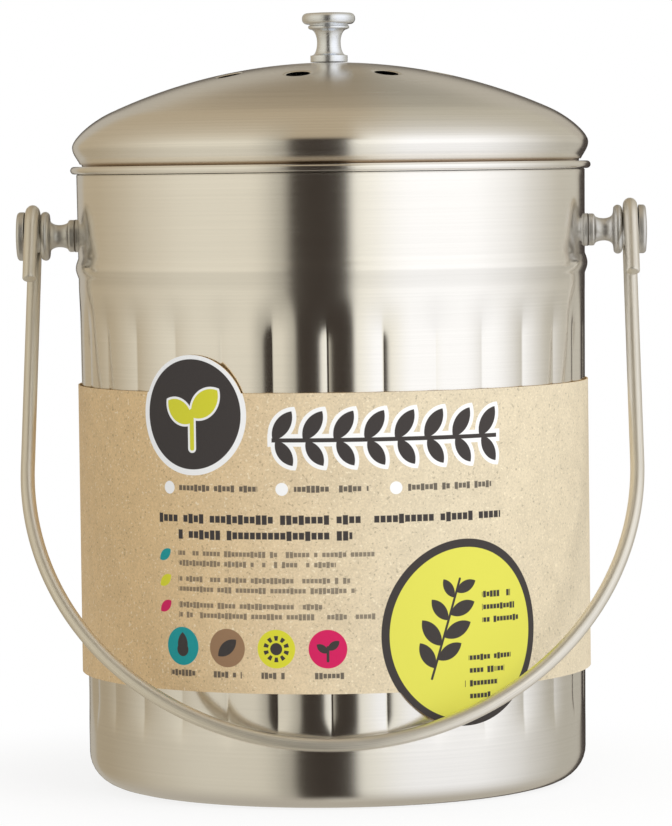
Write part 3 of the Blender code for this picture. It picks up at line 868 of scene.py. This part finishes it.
class BinMakeHandle(Operator):
    """Make the carry handle: one round wire with a hook over each post"""
    bl_idname = "compost_bin.make_handle"
    bl_label = "Carry handle"

    def execute(self, context):
        wire, columns, step = settings().handle.wire_radius, 28, 1.6 * mm
        path, way, out = handle_path(step)
        along = np.concatenate(([0], np.cumsum(np.linalg.norm(np.diff(path, axis=0), axis=1))))

        # Five stations at each end: a flat cut, an eased corner, then the full wire
        extra = 4
        inset = np.array((0, 0, 0.1, 0.3, 0.6)) * mm
        thinner = np.array((wire, 0.6 * mm, 0.32 * mm, 0.08 * mm, 0))
        between = np.zeros(len(path) - 2)
        station = np.arange(-extra, len(path) + extra).clip(0, len(path) - 1)
        shift = np.concatenate((inset, between, -inset[::-1]))
        radius = wire - np.concatenate((thinner, between, thinner[::-1]))
        way, out = way[station], out[station]
        path, along = path[station] + shift[:, None] * way, along[station] + shift

        turns = np.linspace(0, 2 * np.pi, columns, endpoint=False)[:, None]
        ring = np.cos(turns) * out[:, None] + np.sin(turns) * np.cross(way, out)[:, None]
        points = path[:, None] + radius[:, None, None] * ring
        uv = stacked(np.abs(turns[:, 0] - np.pi) * wire, along[:, None])
        piece = new_piece(
            "wire_handle", (points.reshape(-1, 3), grid_faces(len(path), columns)),
            finish("drawn_wire", drawn_wire), uv=uv.reshape(-1, 2),
        )
        stand_in(piece, "handle", "carry_handle")
        return {"FINISHED"}


class BinMakeSleeve(Operator):
    """Make the printed board sleeve with its round tab, its oval tab and its glued seam"""
    bl_idname = "compost_bin.make_sleeve"
    bl_label = "Board sleeve"

    def execute(self, context):
        sleeve = settings().sleeve
        rows = 24
        inside = sleeve_inside()
        outside = inside + sleeve.board
        overlap = sleeve.overlap / outside
        turns = [np.linspace(-np.pi, np.pi + overlap, 300)]
        for middle, half in ((sleeve.badge_turn, sleeve.badge_radius),
                             (sleeve.oval_turn, sleeve.oval_half_width)):
            turns.append(middle + half / inside * np.sin(np.linspace(-np.pi / 2, np.pi / 2, 61)))
        turns = np.unique(np.concatenate(turns).round(6))
        columns = turns.size

        def tab(middle, half_width, half_height):
            """An ellipse's half height at each turn, 0 beside it."""
            away = np.clip(np.abs(turns - middle) * inside / half_width, 0, 1)
            return half_height * np.sqrt(1 - away ** 2)

        badge = tab(sleeve.badge_turn, sleeve.badge_radius, sleeve.badge_radius)
        oval = tab(sleeve.oval_turn, sleeve.oval_half_width, sleeve.oval_half_height)
        high = np.maximum(sleeve.low + sleeve.height, sleeve.badge_height + badge)
        low = np.minimum(sleeve.low, sleeve.oval_height - oval)

        # The end that laps over rises by the board's thickness just before the seam
        glue = 0.1 * mm
        lap = smooth((turns - np.pi + overlap) / (0.8 * overlap)) * (sleeve.board + glue)
        z = low + (high - low) * np.linspace(0, 1, rows)[:, None]
        z = np.vstack((z, z[::-1]))
        radius = np.repeat((outside, inside), rows)[:, None] + lap
        points = stacked(radius * np.sin(turns), -radius * np.cos(turns), z).reshape(-1, 3)
        uv = stacked(turns * outside, z).reshape(-1, 2)

        loop = np.arange(2 * rows)[:, None] * columns + np.arange(columns - 1)
        after = np.roll(loop, -1, 0)
        row = np.arange(rows - 1)
        facing = 2 * rows - 1 - row
        cut = stacked(row, row + 1, facing - 1, facing) * columns
        faces = np.vstack((
            stacked(loop, loop + 1, after + 1, after).reshape(-1, 4), cut, cut + columns - 1,
        ))
        plain = np.ones(len(faces), np.int32)
        plain[:(rows - 1) * (columns - 1)] = 0
        piece = new_piece(
            "board_sleeve", (points, faces), finish("printed_kraft", printed_kraft), uv=uv
        )
        piece.data.materials.append(finish("plain_kraft", plain_kraft))
        piece.data.polygons.foreach_set("material_index", plain)
        stand_in(piece, "bin", "paper_sleeve")
        return {"FINISHED"}


# Finishes


def math_node(operation):
    """A method that puts its values through a Math node."""
    def method(*values):
        return values[0].maker.node("ShaderNodeMath", {"operation": operation}, values)
    return method


class Value:
    """One socket of a material. Sums, products and the rest add the Math nodes they need."""

    __add__ = __radd__ = math_node("ADD")
    __mul__ = __rmul__ = math_node("MULTIPLY")
    __sub__, __truediv__ = math_node("SUBTRACT"), math_node("DIVIDE")
    __abs__, root = math_node("ABSOLUTE"), math_node("SQRT")
    least, most, over = math_node("MINIMUM"), math_node("MAXIMUM"), math_node("GREATER_THAN")
    whole, remainder = math_node("FLOOR"), math_node("FRACT")
    arctan2, arcsine = math_node("ARCTAN2"), math_node("ARCSINE")

    def __init__(self, maker, socket):
        self.maker, self.socket = maker, socket

    def __rsub__(self, other):
        return self.maker.node("ShaderNodeMath", {"operation": "SUBTRACT"}, (other, self))

    def step(self, low, high):
        """Ease from 0 at low to 1 at high."""
        return self.maker.node(
            "ShaderNodeMapRange", {"interpolation_type": "SMOOTHSTEP"}, (self, low, high, 0, 1)
        )

    def other(self, output):
        """Another output of the same node."""
        return Value(self.maker, self.socket.node.outputs[output])


class Maker:
    """Adds nodes to one material or world."""

    def __init__(self, tree):
        self.tree = tree
        tree.nodes.clear()

    def node(self, kind, options=None, values=(), output=0):
        """A node of this kind, with its options set first and then its sockets."""
        node = self.tree.nodes.new(kind)
        for name, value in (options or {}).items():
            setattr(node, name, value)
        pairs = values.items() if isinstance(values, dict) else enumerate(values)
        for key, value in pairs:
            if isinstance(value, Value):
                self.tree.links.new(value.socket, node.inputs[key])
            else:
                node.inputs[key].default_value = value
        return Value(self, node.outputs[output]) if node.outputs else None

    def vector(self, *parts):
        return self.node("ShaderNodeCombineXYZ", values=parts)

    def split(self, vector):
        x = self.node("ShaderNodeSeparateXYZ", values=(vector,))
        return x, x.other(1), x.other(2)

    def point(self):
        """The place on the object."""
        return self.node("ShaderNodeTexCoord", output="Object")

    def flat(self):
        """The two coordinates of the piece's own flat map."""
        return self.split(self.node("ShaderNodeUVMap", {"uv_map": "flat"}))[:2]

    def mix(self, amount, first, second):
        """Colour that goes from the first to the second as the amount goes from 0 to 1."""
        first, second = (
            value if isinstance(value, Value) else (*value, 1) for value in (first, second)
        )
        return self.node(
            "ShaderNodeMix", {"data_type": "RGBA"}, {0: amount, 6: first, 7: second}, 2
        )

    def blend(self, amount, first, second):
        """The same for vectors."""
        return self.node(
            "ShaderNodeMix", {"data_type": "VECTOR"}, {0: amount, 4: first, 5: second}, 1
        )

    def scaled(self, value, shade):
        """A colour times a number."""
        return self.node(
            "ShaderNodeVectorMath", {"operation": "SCALE"}, {0: shade, "Scale": value}
        )

    def noise(self, place, detail, rough, scale=1.0):
        """Noise at a point, or at three coordinates that are stretched already."""
        if isinstance(place, tuple):
            place = self.vector(*place)
        return self.node(
            "ShaderNodeTexNoise", None,
            {"Vector": place, "Scale": scale, "Detail": detail, "Roughness": rough},
        )

    def surface(self, bump, distance, strength, **values):
        """The shader and the output. Names in values are its sockets, with _ for a space."""
        sockets = {name.replace("_", " "): value for name, value in values.items()}
        sockets["Normal"] = self.node(
            "ShaderNodeBump", None, {"Strength": strength, "Distance": distance, "Height": bump}
        )
        shader = self.node("ShaderNodeBsdfPrincipled", None, sockets)
        self.node("ShaderNodeOutputMaterial", None, {"Surface": shader})


def finish(name, recipe, *details):
    """The material of this name, which its recipe makes when it is first asked for."""
    material = bpy.data.materials.get(name)
    if material is None:
        material = bpy.data.materials.new(name)
        material.use_nodes = True
        recipe(Maker(material.node_tree), *details)
    return material


def brushed_steel(make, crevice=None, gap_shade_tone=None, on_lid=False):
    """Steel brushed round its axis: long thin streaks, soft patches and a few faint scratches.

    It is a little darker near the foot, a painted shade for the dim floor that the foot
    mirrors. A crevice is a pair of heights between which it goes from clean to a painted
    shade, the dark of a narrow gap. On the lid it is dullest round the knob, where hands touch,
    and darkest there, a painted shade that dims the knob's bright reflection.
    """
    steel = settings().colours.steel
    x, y, z = make.split(make.point())
    away = (x * x + y * y).root()
    level, darker, dents = (away - z, 0.93, 0.14) if on_lid else (z, 0.965, 0.085)
    streak = make.noise((x * 7, y * 7, level * 1500), 4.0, 0.7)
    fine = make.noise((x * 26, y * 26, level * 5200), 2.0, 0.5)
    patch = make.noise((x * 14, y * 14, level * 30), 2.0, 0.5)
    scratch = make.noise((x * 55, y * 55, level * 2200 + patch * 9), 0.0, 0.5).step(0.76, 0.84)
    base = make.mix(streak.step(0.30, 0.70), darker * steel, steel)
    # Painted shade: a little darker towards the foot, for the dim floor that the foot mirrors
    base = make.scaled(0.92 + z.step(0.03, 0.10) * 0.08, base)
    # Painted shade: between the crevice's heights the steel goes over into the tone of a shadowed
    # gap
    if crevice:
        base = make.mix(z.step(*crevice), base, gap_shade_tone)
    rough = 0.125 + streak * 0.05 + patch * 0.04 + scratch * 0.06
    if on_lid:
        from_knob = away.step(14 * mm, 30 * mm)
        # Painted shade: darker round the knob, which dims the knob's bright reflection on the crown
        base = make.scaled(0.84 + from_knob * 0.16, base)
        rough = rough + 0.10 - from_knob * 0.06 - away.step(80 * mm, 88 * mm) * 0.03
    make.surface(
        streak * 0.5 + fine * 0.5 + scratch * 0.4, 0.012 * mm, dents,
        Base_Color=base, Metallic=1.0, Roughness=rough, Anisotropic=0.5, Anisotropic_Rotation=0.25,
    )


def turned_aluminium(make, axis, bright, dull=0.0, joint=None):
    """Turned aluminium: fine tool rings that follow the axis, and a soft bloom between them.

    A joint is the distance along the axis at which dirt has settled in a thin dark line.
    """
    point = make.point()
    parts = make.split(point)
    along = parts[axis]
    across = [part * 60 for part in parts if part is not along]
    rings = make.noise((along * 5200, *across), 2.0, 0.6)
    bloom = make.noise(point, 3.0, 0.6, 320.0)
    base = make.mix(rings.step(0.25, 0.7), 0.92 * bright, bright)
    if joint:
        clean = abs(abs(along) - joint).step(0.16 * mm, 0.40 * mm)
        base = make.mix(clean, settings().colours.joint, base)
    make.surface(
        rings, 0.01 * mm, 0.10, Base_Color=base, Metallic=1.0,
        Roughness=0.20 + dull + rings * 0.06 + bloom * 0.10,
    )


def knob_finish():
    return finish("knob_aluminium", turned_aluminium, 2, settings().colours.aluminium)


def post_finish():
    joint = post_seat() - 0.5 * fit_gap
    # The posts' colour is aluminium darkened as painted shade
    return finish(
        "post_aluminium", turned_aluminium, 0, settings().colours.shaded_post_metal, 0.09, joint
    )


def drawn_wire(make):
    """Drawn wire: lines along its length, with dull rubbed patches."""
    wire = settings().colours.wire
    around, along = make.flat()
    lines = make.noise((around * 3200, along * 26), 3.0, 0.6)
    rubbed = make.noise(make.point(), 3.0, 0.6, 90.0)
    make.surface(
        lines, 0.015 * mm, 0.2, Base_Color=make.mix(lines.step(0.25, 0.75), 0.80 * wire, wire),
        Metallic=1.0, Roughness=0.34 + lines * 0.06 + rubbed * 0.12,
    )


def zinc_plating(make):
    """Zinc plating: a fine mottle of slightly different greys."""
    zinc = settings().colours.zinc
    mottle = make.noise(make.point(), 4.0, 0.65, 900.0)
    make.surface(
        mottle, 0.02 * mm, 0.4, Base_Color=make.mix(mottle.step(0.3, 0.7), 0.72 * zinc, zinc),
        Metallic=1.0, Roughness=0.25 + mottle * 0.2,
    )


def charcoal_felt(make):
    """Matted charcoal fibre: short crossing hairs over soft lumps, some of them paler."""
    dark = settings().colours.felt
    point = make.point()
    x, y, z = make.split(point)
    lumps = make.noise(point, 4.0, 0.65, 420.0)
    hairs = make.noise((x * 5200 + y * 900, y * 700, z * 3000), 2.0, 0.6)
    hairs = hairs.most(make.noise((x * 700, y * 5200 - x * 900, z * 3000), 2.0, 0.6))
    make.surface(
        hairs * 0.6 + lumps, 0.35 * mm, 0.8, Metallic=0.0, Roughness=0.86 + lumps * 0.1,
        Base_Color=make.mix(hairs.step(0.52, 0.78), dark, 3.4 * dark), Sheen_Weight=0.25,
    )


def kraft_surface(make, pale):
    """Colour, height and roughness of kraft board: pulp clouds, fibres and flecks."""
    colours, point = settings().colours, make.point()
    clouds = make.noise(point, 3.0, 0.55, 130.0)
    pulp = make.noise(point, 3.0, 0.65, 1300.0)
    flecks = make.noise(point, 1.0, 0.4, 950.0)
    shade = 0.90 + (clouds * 0.3 + pulp * 0.7).step(0.34, 0.66) * 0.2
    shade = shade * (1 - flecks.step(0.66, 0.72) * 0.28)
    # Pale is a painted sheen: the share of the paler board where the light falls strongest
    kraft = make.scaled(shade, make.mix(pale, colours.kraft, colours.painted_sheen_kraft))
    base = make.mix((1 - flecks).step(0.66, 0.72) * 0.5, kraft, colours.pulp)
    return base, pulp * 0.6 + clouds * 0.4, 0.78 + pulp * 0.12


def plain_kraft(make):
    """Plain kraft board, for the back and the cut edges of the sleeve."""
    base, height, rough = kraft_surface(make, 0.0)
    make.surface(height, 0.08 * mm, 0.5, Base_Color=base, Roughness=rough)


def turned_by(along, across, turn):
    """Two coordinates after a turn of so many degrees."""
    cosine, sine = math.cos(math.radians(turn)), math.sin(math.radians(turn))
    return along * cosine + across * sine, across * cosine - along * sine


def lens(along, across, size, width):
    """The lens where two equal circles overlap, with one point at the start."""
    radius = (size * size + width * width) / (4 * width)
    side = abs(across) + (radius - width / 2)
    middle = along - size / 2
    return radius - (middle * middle + side * side).root()


def joined(*shapes):
    """Several shapes as one: the greatest of their distances."""
    return reduce(Value.most, shapes)


class Print:
    """Lays inks on the sleeve. Places are millimetres round from the front and up from the base.

    Every shape is a distance to its outline, positive inside, worked out from the place.
    """

    def __init__(self, make):
        self.make, self.colour = make, None
        self.u, self.v = (part / mm for part in make.flat())

    def at(self, u, v, turn=0.0):
        """Coordinates along and across from a place, turned by so many degrees."""
        return turned_by(self.u - u, self.v - v, turn) if turn else (self.u - u, self.v - v)

    def lay(self, distance, ink, soft=0.16, strength=1.0):
        """Cover the print so far with ink wherever the distance is positive."""
        amount = self.make.node(
            "ShaderNodeMath", {"operation": "MULTIPLY_ADD", "use_clamp": True},
            (distance, 1 / soft, 0.5),
        )
        self.colour = self.make.mix(amount * strength, self.colour, ink)

    def oval(self, u, v, half_width, half_height):
        """Half the height less the distance from the middle, the width scaled to the height."""
        along, across = self.at(u, v)
        along = along * (half_height / half_width)
        return half_height - (along * along + across * across).root()

    def disc(self, u, v, radius):
        return self.oval(u, v, radius, radius)

    def stalk(self, u, v, half_width, half_height, corner, turn=0.0):
        """A rectangle with round corners: the distance outside its shrunk core, less the corner."""
        along, across = self.at(u, v, turn)
        past_u = (abs(along) - (half_width - corner)).most(0.0)
        past_v = (abs(across) - (half_height - corner)).most(0.0)
        return corner - (past_u * past_u + past_v * past_v).root()

    def leaf(self, u, v, size, width, turn):
        return lens(*self.at(u, v, turn), size, width)

    def bars(self, left, right, middle, height, seed, ink, strength=1.0):
        """A line of plain blocks in the place of words.

        The line is cut into equal cells. A random share of them stays bare as the gaps, and
        the others stand at one of two heights.
        """
        cell_width = 0.66 * height
        cell = self.u / cell_width
        chance = self.make.node(
            "ShaderNodeTexWhiteNoise", {"noise_dimensions": "2D"},
            {"Vector": self.make.vector(cell.whole(), seed)},
        )
        tall = (chance * 7.3).remainder().over(0.68)
        side = 0.41 * cell_width - abs(cell.remainder() - 0.5) * cell_width
        above = height * (0.36 + tall * 0.14) - abs(self.v - middle)
        within = (self.u - left).least(right - self.u)
        bare = (chance - 0.17) * 50.0
        self.lay(side.least(above).least(within).least(bare), ink, 0.2, strength)


def printed_kraft(make):
    """The sleeve's printed face: kraft board with a plain generic design in six inks."""
    art, sleeve, colours = Print(make), settings().sleeve, settings().colours
    ink, white, lime = colours.ink, colours.white, colours.lime
    magenta, brown, teal = colours.magenta, colours.brown, colours.teal
    # The board pales from the left of the front to its right, and turns tan again behind:
    # a painted sheen where the light from the right falls on it
    pale = art.u.step(-85, 45) * (1 - art.u.step(120, 250))
    art.colour, height, rough = kraft_surface(make, pale)
    around = (sleeve_inside() + sleeve.board) / mm

    # Round tab: a sprout on a dark face with a white rim
    u, v, radius = sleeve.badge_turn * around, sleeve.badge_height / mm, sleeve.badge_radius / mm
    art.lay(art.disc(u, v, radius + 0.6), white)
    art.lay(art.disc(u, v, radius - 1.5), ink)
    sprout = joined(
        art.stalk(u, v - 5.5, 0.9, 7.5, 0.8), art.leaf(u, v - 1, 14.5, 8.6, 42),
        art.leaf(u, v - 3, 13.0, 7.6, 143),
    )
    art.lay(sprout + 0.8, white)
    art.lay(sprout, lime)

    # Garland of dark leaves with a white outline, in the place of a title
    left, right, middle, period, outline = -22.0, 66.0, 133.0, 11.0, 1.5
    cell = (art.u / period).remainder() * period - period / 2
    rise = art.v - middle
    within = (art.u - left).least(right - art.u)
    garland = joined(
        lens(*turned_by(cell + 3.6, rise, 56), 12.5, 5.6),
        lens(*turned_by(cell + 2.6, rise, -56), 11.0, 5.0),
        (0.75 - abs(rise)).least(within - outline),
    )
    art.lay((garland + outline).least(within), white)
    art.lay(garland.least(within), ink)

    # Lines of plain blocks, with three pale dots on the first
    for spot, end, seed in ((-62.0, -26.0, 3), (-17.0, 14.0, 5), (24.0, 62.0, 8)):
        art.lay(art.disc(spot, 115.6, 2.3), white)
        art.bars(spot + 4.4, end, 115.6, 2.5, seed, ink, 0.85)
    art.bars(-67.0, 66.0, 104.6, 3.4, 12, ink)
    art.bars(-67.0, 8.0, 98.9, 3.4, 14, ink)

    # Three short notes, each with a leaf
    for number, spot in enumerate((teal, lime, magenta)):
        row = 91.2 - 9.3 * number
        art.lay(art.leaf(-67.0, row - 1.8, 6.4, 3.6, 38), spot)
        art.bars(-58.5, 16.0 - 9 * number, row + 1.0, 2.2, 20 + number, ink, 0.7)
        art.bars(-58.5, 2.0 + 7 * number, row - 2.6, 2.2, 30 + number, ink, 0.7)

    # Four discs: a drop, a leaf, a sun and a sprout
    row, places = 58.6, (-57.0, -38.4, -19.8, -1.2)
    for spot, shade in zip(places, (teal, brown, lime, magenta)):
        art.lay(art.disc(spot, row, 6.9), shade)
        art.bars(spot - 5.6, spot + 5.6, row - 9.6, 2.3, int(spot) + 90, ink, 0.85)
    drop, leaf, sun, sprig = places
    along, across = art.at(sun, row)
    distance = (along * along + across * across).root()
    ray = (across.arctan2(along) * (10 / (2 * math.pi))).remainder()
    rays = (0.9 - abs(ray - 0.5) * 3.4).least((4.7 - distance).least(distance - 3.0))
    for shape in (
        art.disc(drop, row - 1.2, 2.5).most(art.leaf(drop, row - 3.6, 8.6, 4.4, 90)),
        art.leaf(leaf - 3.6, row - 3.0, 9.4, 4.6, 40),
        (2.2 - distance).most(rays),
        joined(art.stalk(sprig, row - 1.8, 0.5, 2.9, 0.4), art.leaf(sprig, row - 0.4, 5.2, 2.8, 38),
               art.leaf(sprig, row - 1.4, 5.0, 2.7, 142)),
    ):
        art.lay(shape, ink)

    # Oval tab: a leafy sprig and a few lines on lime, in a dark border
    u, v = sleeve.oval_turn * around, sleeve.oval_height / mm
    half_width, half_height = sleeve.oval_half_width / mm, sleeve.oval_half_height / mm
    art.lay(art.oval(u, v, half_width + 0.6, half_height + 0.6), ink)
    art.lay(art.oval(u, v, half_width - 2.4, half_height - 2.4), colours.bright_lime)
    leaves = ((11, 30, -9), (12, 24, -1), (11, 22, 7), (9, 24, 15),
              (11, 122, -12), (12, 128, -4), (10, 130, 5), (8, 122, 13))
    art.lay(joined(art.stalk(u - 8.0, v + 2.0, 0.45, 19.0, 0.4, -18), *(
        art.leaf(u - 8.0 + 0.31 * (up - 2), v + up, size, 0.46 * size, turn)
        for size, turn, up in leaves
    )), ink)
    for number in range(3):
        row = v + 13.5 - 4.6 * number
        art.bars(u + 7.0, u + 20.0 + 2.0 * number, row, 2.3, 51 + number, ink)
    for number in range(4):
        row = v - 9.0 - 4.6 * number
        art.bars(u + 1.0 - 0.8 * number, u + 20.0 - 3.2 * number, row, 2.3, 61 + number, ink)
    make.surface(height, 0.08 * mm, 0.5, Base_Color=art.colour, Roughness=rough)


# Stage

camera_distance = 1.7225
camera_height = 0.2298
camera_pitch = math.radians(3.0675)
camera_roll = math.radians(-0.737)
camera_yaw = math.radians(1.14)
camera_pan = math.radians(0.03)
camera_lens = 200.4
lamp_place = Vector((1.35, -1.35, 1.3))
lamp_aim = Vector((0, 0, 0.12))
lamp_size = (1.2, 1.6)
lamp_power = 26.0
floor_radius = 6.0
floor_middle = 0.08


def studio_world(make):
    """The studio round the bin, as its metal mirrors it, and an even fill for the rest.

    A direction is named by the one halfway between it and the front. Its turn from the front
    decides between a warm panel on the left, a dark gap and a white panel on the right, and
    its rise fades all three into the ceiling or the floor.
    """
    studio = settings().studio
    seen = make.node("ShaderNodeTexCoord", output="Generated")
    halfway = make.node("ShaderNodeVectorMath", {"operation": "ADD"}, (seen, (0, -1, 0.05)))
    halfway = make.node("ShaderNodeVectorMath", {"operation": "NORMALIZE"}, (halfway,))
    x, y, z = make.split(halfway)
    degrees = 180 / math.pi
    turn, rise = x.arctan2(y * -1) * degrees, z.arcsine() * degrees

    left = make.blend(turn.step(-68, -27), studio.left_end, studio.left_panel)
    left = make.scaled(1.04 - turn.step(-18.5, -8) * 0.44, left)
    right = make.blend(turn.step(31, 66), studio.right_panel, studio.right_end)
    right = make.blend(turn.step(5, 20), studio.right_start, right)
    panels = make.blend(turn.step(-4, -2), left, make.scaled(1.10, right))
    # Below level the studio is a little darker
    panels = make.scaled(0.88 + rise.step(-2.8, 0.8) * 0.12, panels)
    # The panels pale away upwards into a warm ceiling, and downwards into the floor
    high = make.blend(turn.step(2, 22), studio.ceiling, studio.right_ceiling)
    high = make.scaled(1 - rise.step(62, 72.5) * 0.40 + rise.step(75, 81) * 0.14, high)
    over_gap = turn.step(-14, -7) * (1 - turn.step(4, 11)) * rise.step(18, 30)
    panels = make.blend(rise.step(17, 62).most(over_gap), panels, high)
    panels = make.blend(1 - rise.step(-56, -20), panels, studio.surround)
    # The dark gap between the two panels ends above and below
    gap = turn.step(-9.8, -7.8) * (1 - turn.step(3.8, 5.8))
    gap = gap * (1 - rise.step(24, 37)) * rise.step(-48, -34)
    panels = make.blend(gap, panels, studio.gap)
    # Behind the bin comes first a pale rim, and then the dark that draws the bin's outline
    sideways_part, back, up = make.split(seen)
    rim = back.step(0.835, 0.90) * abs(turn).step(8, 36)
    panels = make.blend(rim, panels, studio.surround)
    dark = sideways_part.step(-0.03, 0.06) * (1 - up.step(0.05, 0.20)) * 0.07
    dark = (back + dark).step(0.958, 0.980) * (1 - up.step(0.30, 0.55))
    panels = make.blend(dark * 0.96, panels, studio.outline)

    path = make.node("ShaderNodeLightPath", output="Is Camera Ray")
    fill, mirror, white = (
        make.node("ShaderNodeBackground", None, {"Color": shade, "Strength": strength})
        for shade, strength in (((1, 1, 1, 1), studio.fill), (panels, 1.0), ((1, 1, 1, 1), 1.0))
    )
    light = make.node(
        "ShaderNodeMixShader", None, {0: path.other("Is Glossy Ray"), 1: fill, 2: mirror}
    )
    light = make.node("ShaderNodeMixShader", None, {0: path, 1: light, 2: white})
    make.node("ShaderNodeOutputWorld", None, {"Surface": light})


def pale_floor(make):
    """Matt and nearly white by the bin. For the camera it goes over into plain white."""
    point = make.point()
    x, y, _ = make.split(point)
    far = 0.80 + (x * x + y * y).root().step(0.10, 0.22) * 0.20
    grain = make.mix(make.noise(point, 2.0, 0.5, 900.0), [0.95] * 3, [0.97] * 3)
    matt = make.node("ShaderNodeBsdfDiffuse", None, {"Color": grain})
    path = make.node("ShaderNodeLightPath", output="Is Camera Ray")
    glow = make.node("ShaderNodeEmission", None, {"Color": (1, 1, 1, 1), "Strength": 1.0})
    shader = make.node("ShaderNodeMixShader", None, {0: far * path, 1: matt, 2: glow})
    make.node("ShaderNodeOutputMaterial", None, {"Surface": shader})


class BinMakeStage(Operator):
    """Set the floor, the studio light and the camera"""
    bl_idname = "compost_bin.make_stage"
    bl_label = "Stage"

    def execute(self, context):
        scene = context.scene
        link = scene.collection.objects.link
        scene.view_settings.view_transform = "Standard"
        scene.world = bpy.data.worlds.new("studio")
        scene.world.use_nodes = True
        scene.world.cycles.sampling_method = "NONE"
        studio_world(Maker(scene.world.node_tree))

        lamp = bpy.data.lights.new("soft_panel", "AREA")
        lamp.shape = "RECTANGLE"
        lamp.size, lamp.size_y = lamp_size
        lamp.energy = lamp_power
        panel = bpy.data.objects.new("soft_panel", lamp)
        panel.location = lamp_place
        panel.rotation_euler = (lamp_aim - lamp_place).to_track_quat("-Z", "Y").to_euler()
        panel.visible_glossy = False
        link(panel)

        radii = np.concatenate(([0], np.geomspace(floor_middle, floor_radius, 30)))
        points, faces = spun(stacked(radii[::-1], 0), 96)
        mesh = bpy.data.meshes.new("floor")
        mesh.from_pydata(points, [], faces)
        mesh.materials.append(finish("pale_floor", pale_floor))
        floor = bpy.data.objects.new("floor", mesh)
        floor.visible_glossy = False
        link(floor)

        camera = bpy.data.cameras.new("camera")
        camera.sensor_width = 36.0
        camera.lens = camera_lens
        camera.clip_end = 50.0
        view = bpy.data.objects.new("camera", camera)
        place = (camera_distance * math.sin(camera_yaw), -camera_distance * math.cos(camera_yaw),
                 camera_height)
        view.matrix_world = (
            Matrix.Translation(place) @ Matrix.Rotation(camera_yaw - camera_pan, 4, "Z")
            @ Matrix.Rotation(math.pi / 2 - camera_pitch, 4, "X")
            @ Matrix.Rotation(camera_roll, 4, "Z")
        )
        link(view)
        scene.camera = view
        return {"FINISHED"}


class BinPanel(Panel):
    """Sizes and colours of the bin, and a button for each of its pieces"""
    bl_idname = "VIEW3D_PT_compost_bin"
    bl_label = "Compost bin"
    bl_space_type = "VIEW_3D"
    bl_region_type = "UI"
    bl_category = "Compost bin"

    def draw(self, context):
        for operator in operators:
            self.layout.operator(operator.bl_idname)
        for name in BinSettings.__annotations__:
            group = getattr(context.scene.compost_bin, name)
            box = self.layout.box()
            box.label(text=name.capitalize())
            for key in type(group).__annotations__:
                box.prop(group, key)


operators = (
    BinMakeBody, BinMakeDome, BinMakeLidInside, BinMakeKnob, BinMakePosts, BinMakeFasteners,
    BinMakeHandle, BinMakeSleeve, BinMakeStage,
)
classes = (
    BinBodySizes, BinLidSizes, BinKnobSizes, BinPostSizes, BinHandleSizes, BinSleeveSizes,
    BinColours, BinStudio, BinSettings, *operators, BinPanel,
)


def register():
    for cls in classes:
        bpy.utils.register_class(cls)
    bpy.types.Scene.compost_bin = PointerProperty(type=BinSettings)


def unregister():
    del bpy.types.Scene.compost_bin
    for cls in reversed(classes):
        bpy.utils.unregister_class(cls)


def main():
    register()
    bpy.ops.compost_bin.make_body()
    bpy.ops.compost_bin.make_dome()
    bpy.ops.compost_bin.make_lid_inside()
    bpy.ops.compost_bin.make_knob()
    bpy.ops.compost_bin.make_posts()
    bpy.ops.compost_bin.make_fasteners()
    bpy.ops.compost_bin.make_handle()
    bpy.ops.compost_bin.make_sleeve()
    bpy.ops.compost_bin.make_stage()


if __name__ == "__main__":
    main()
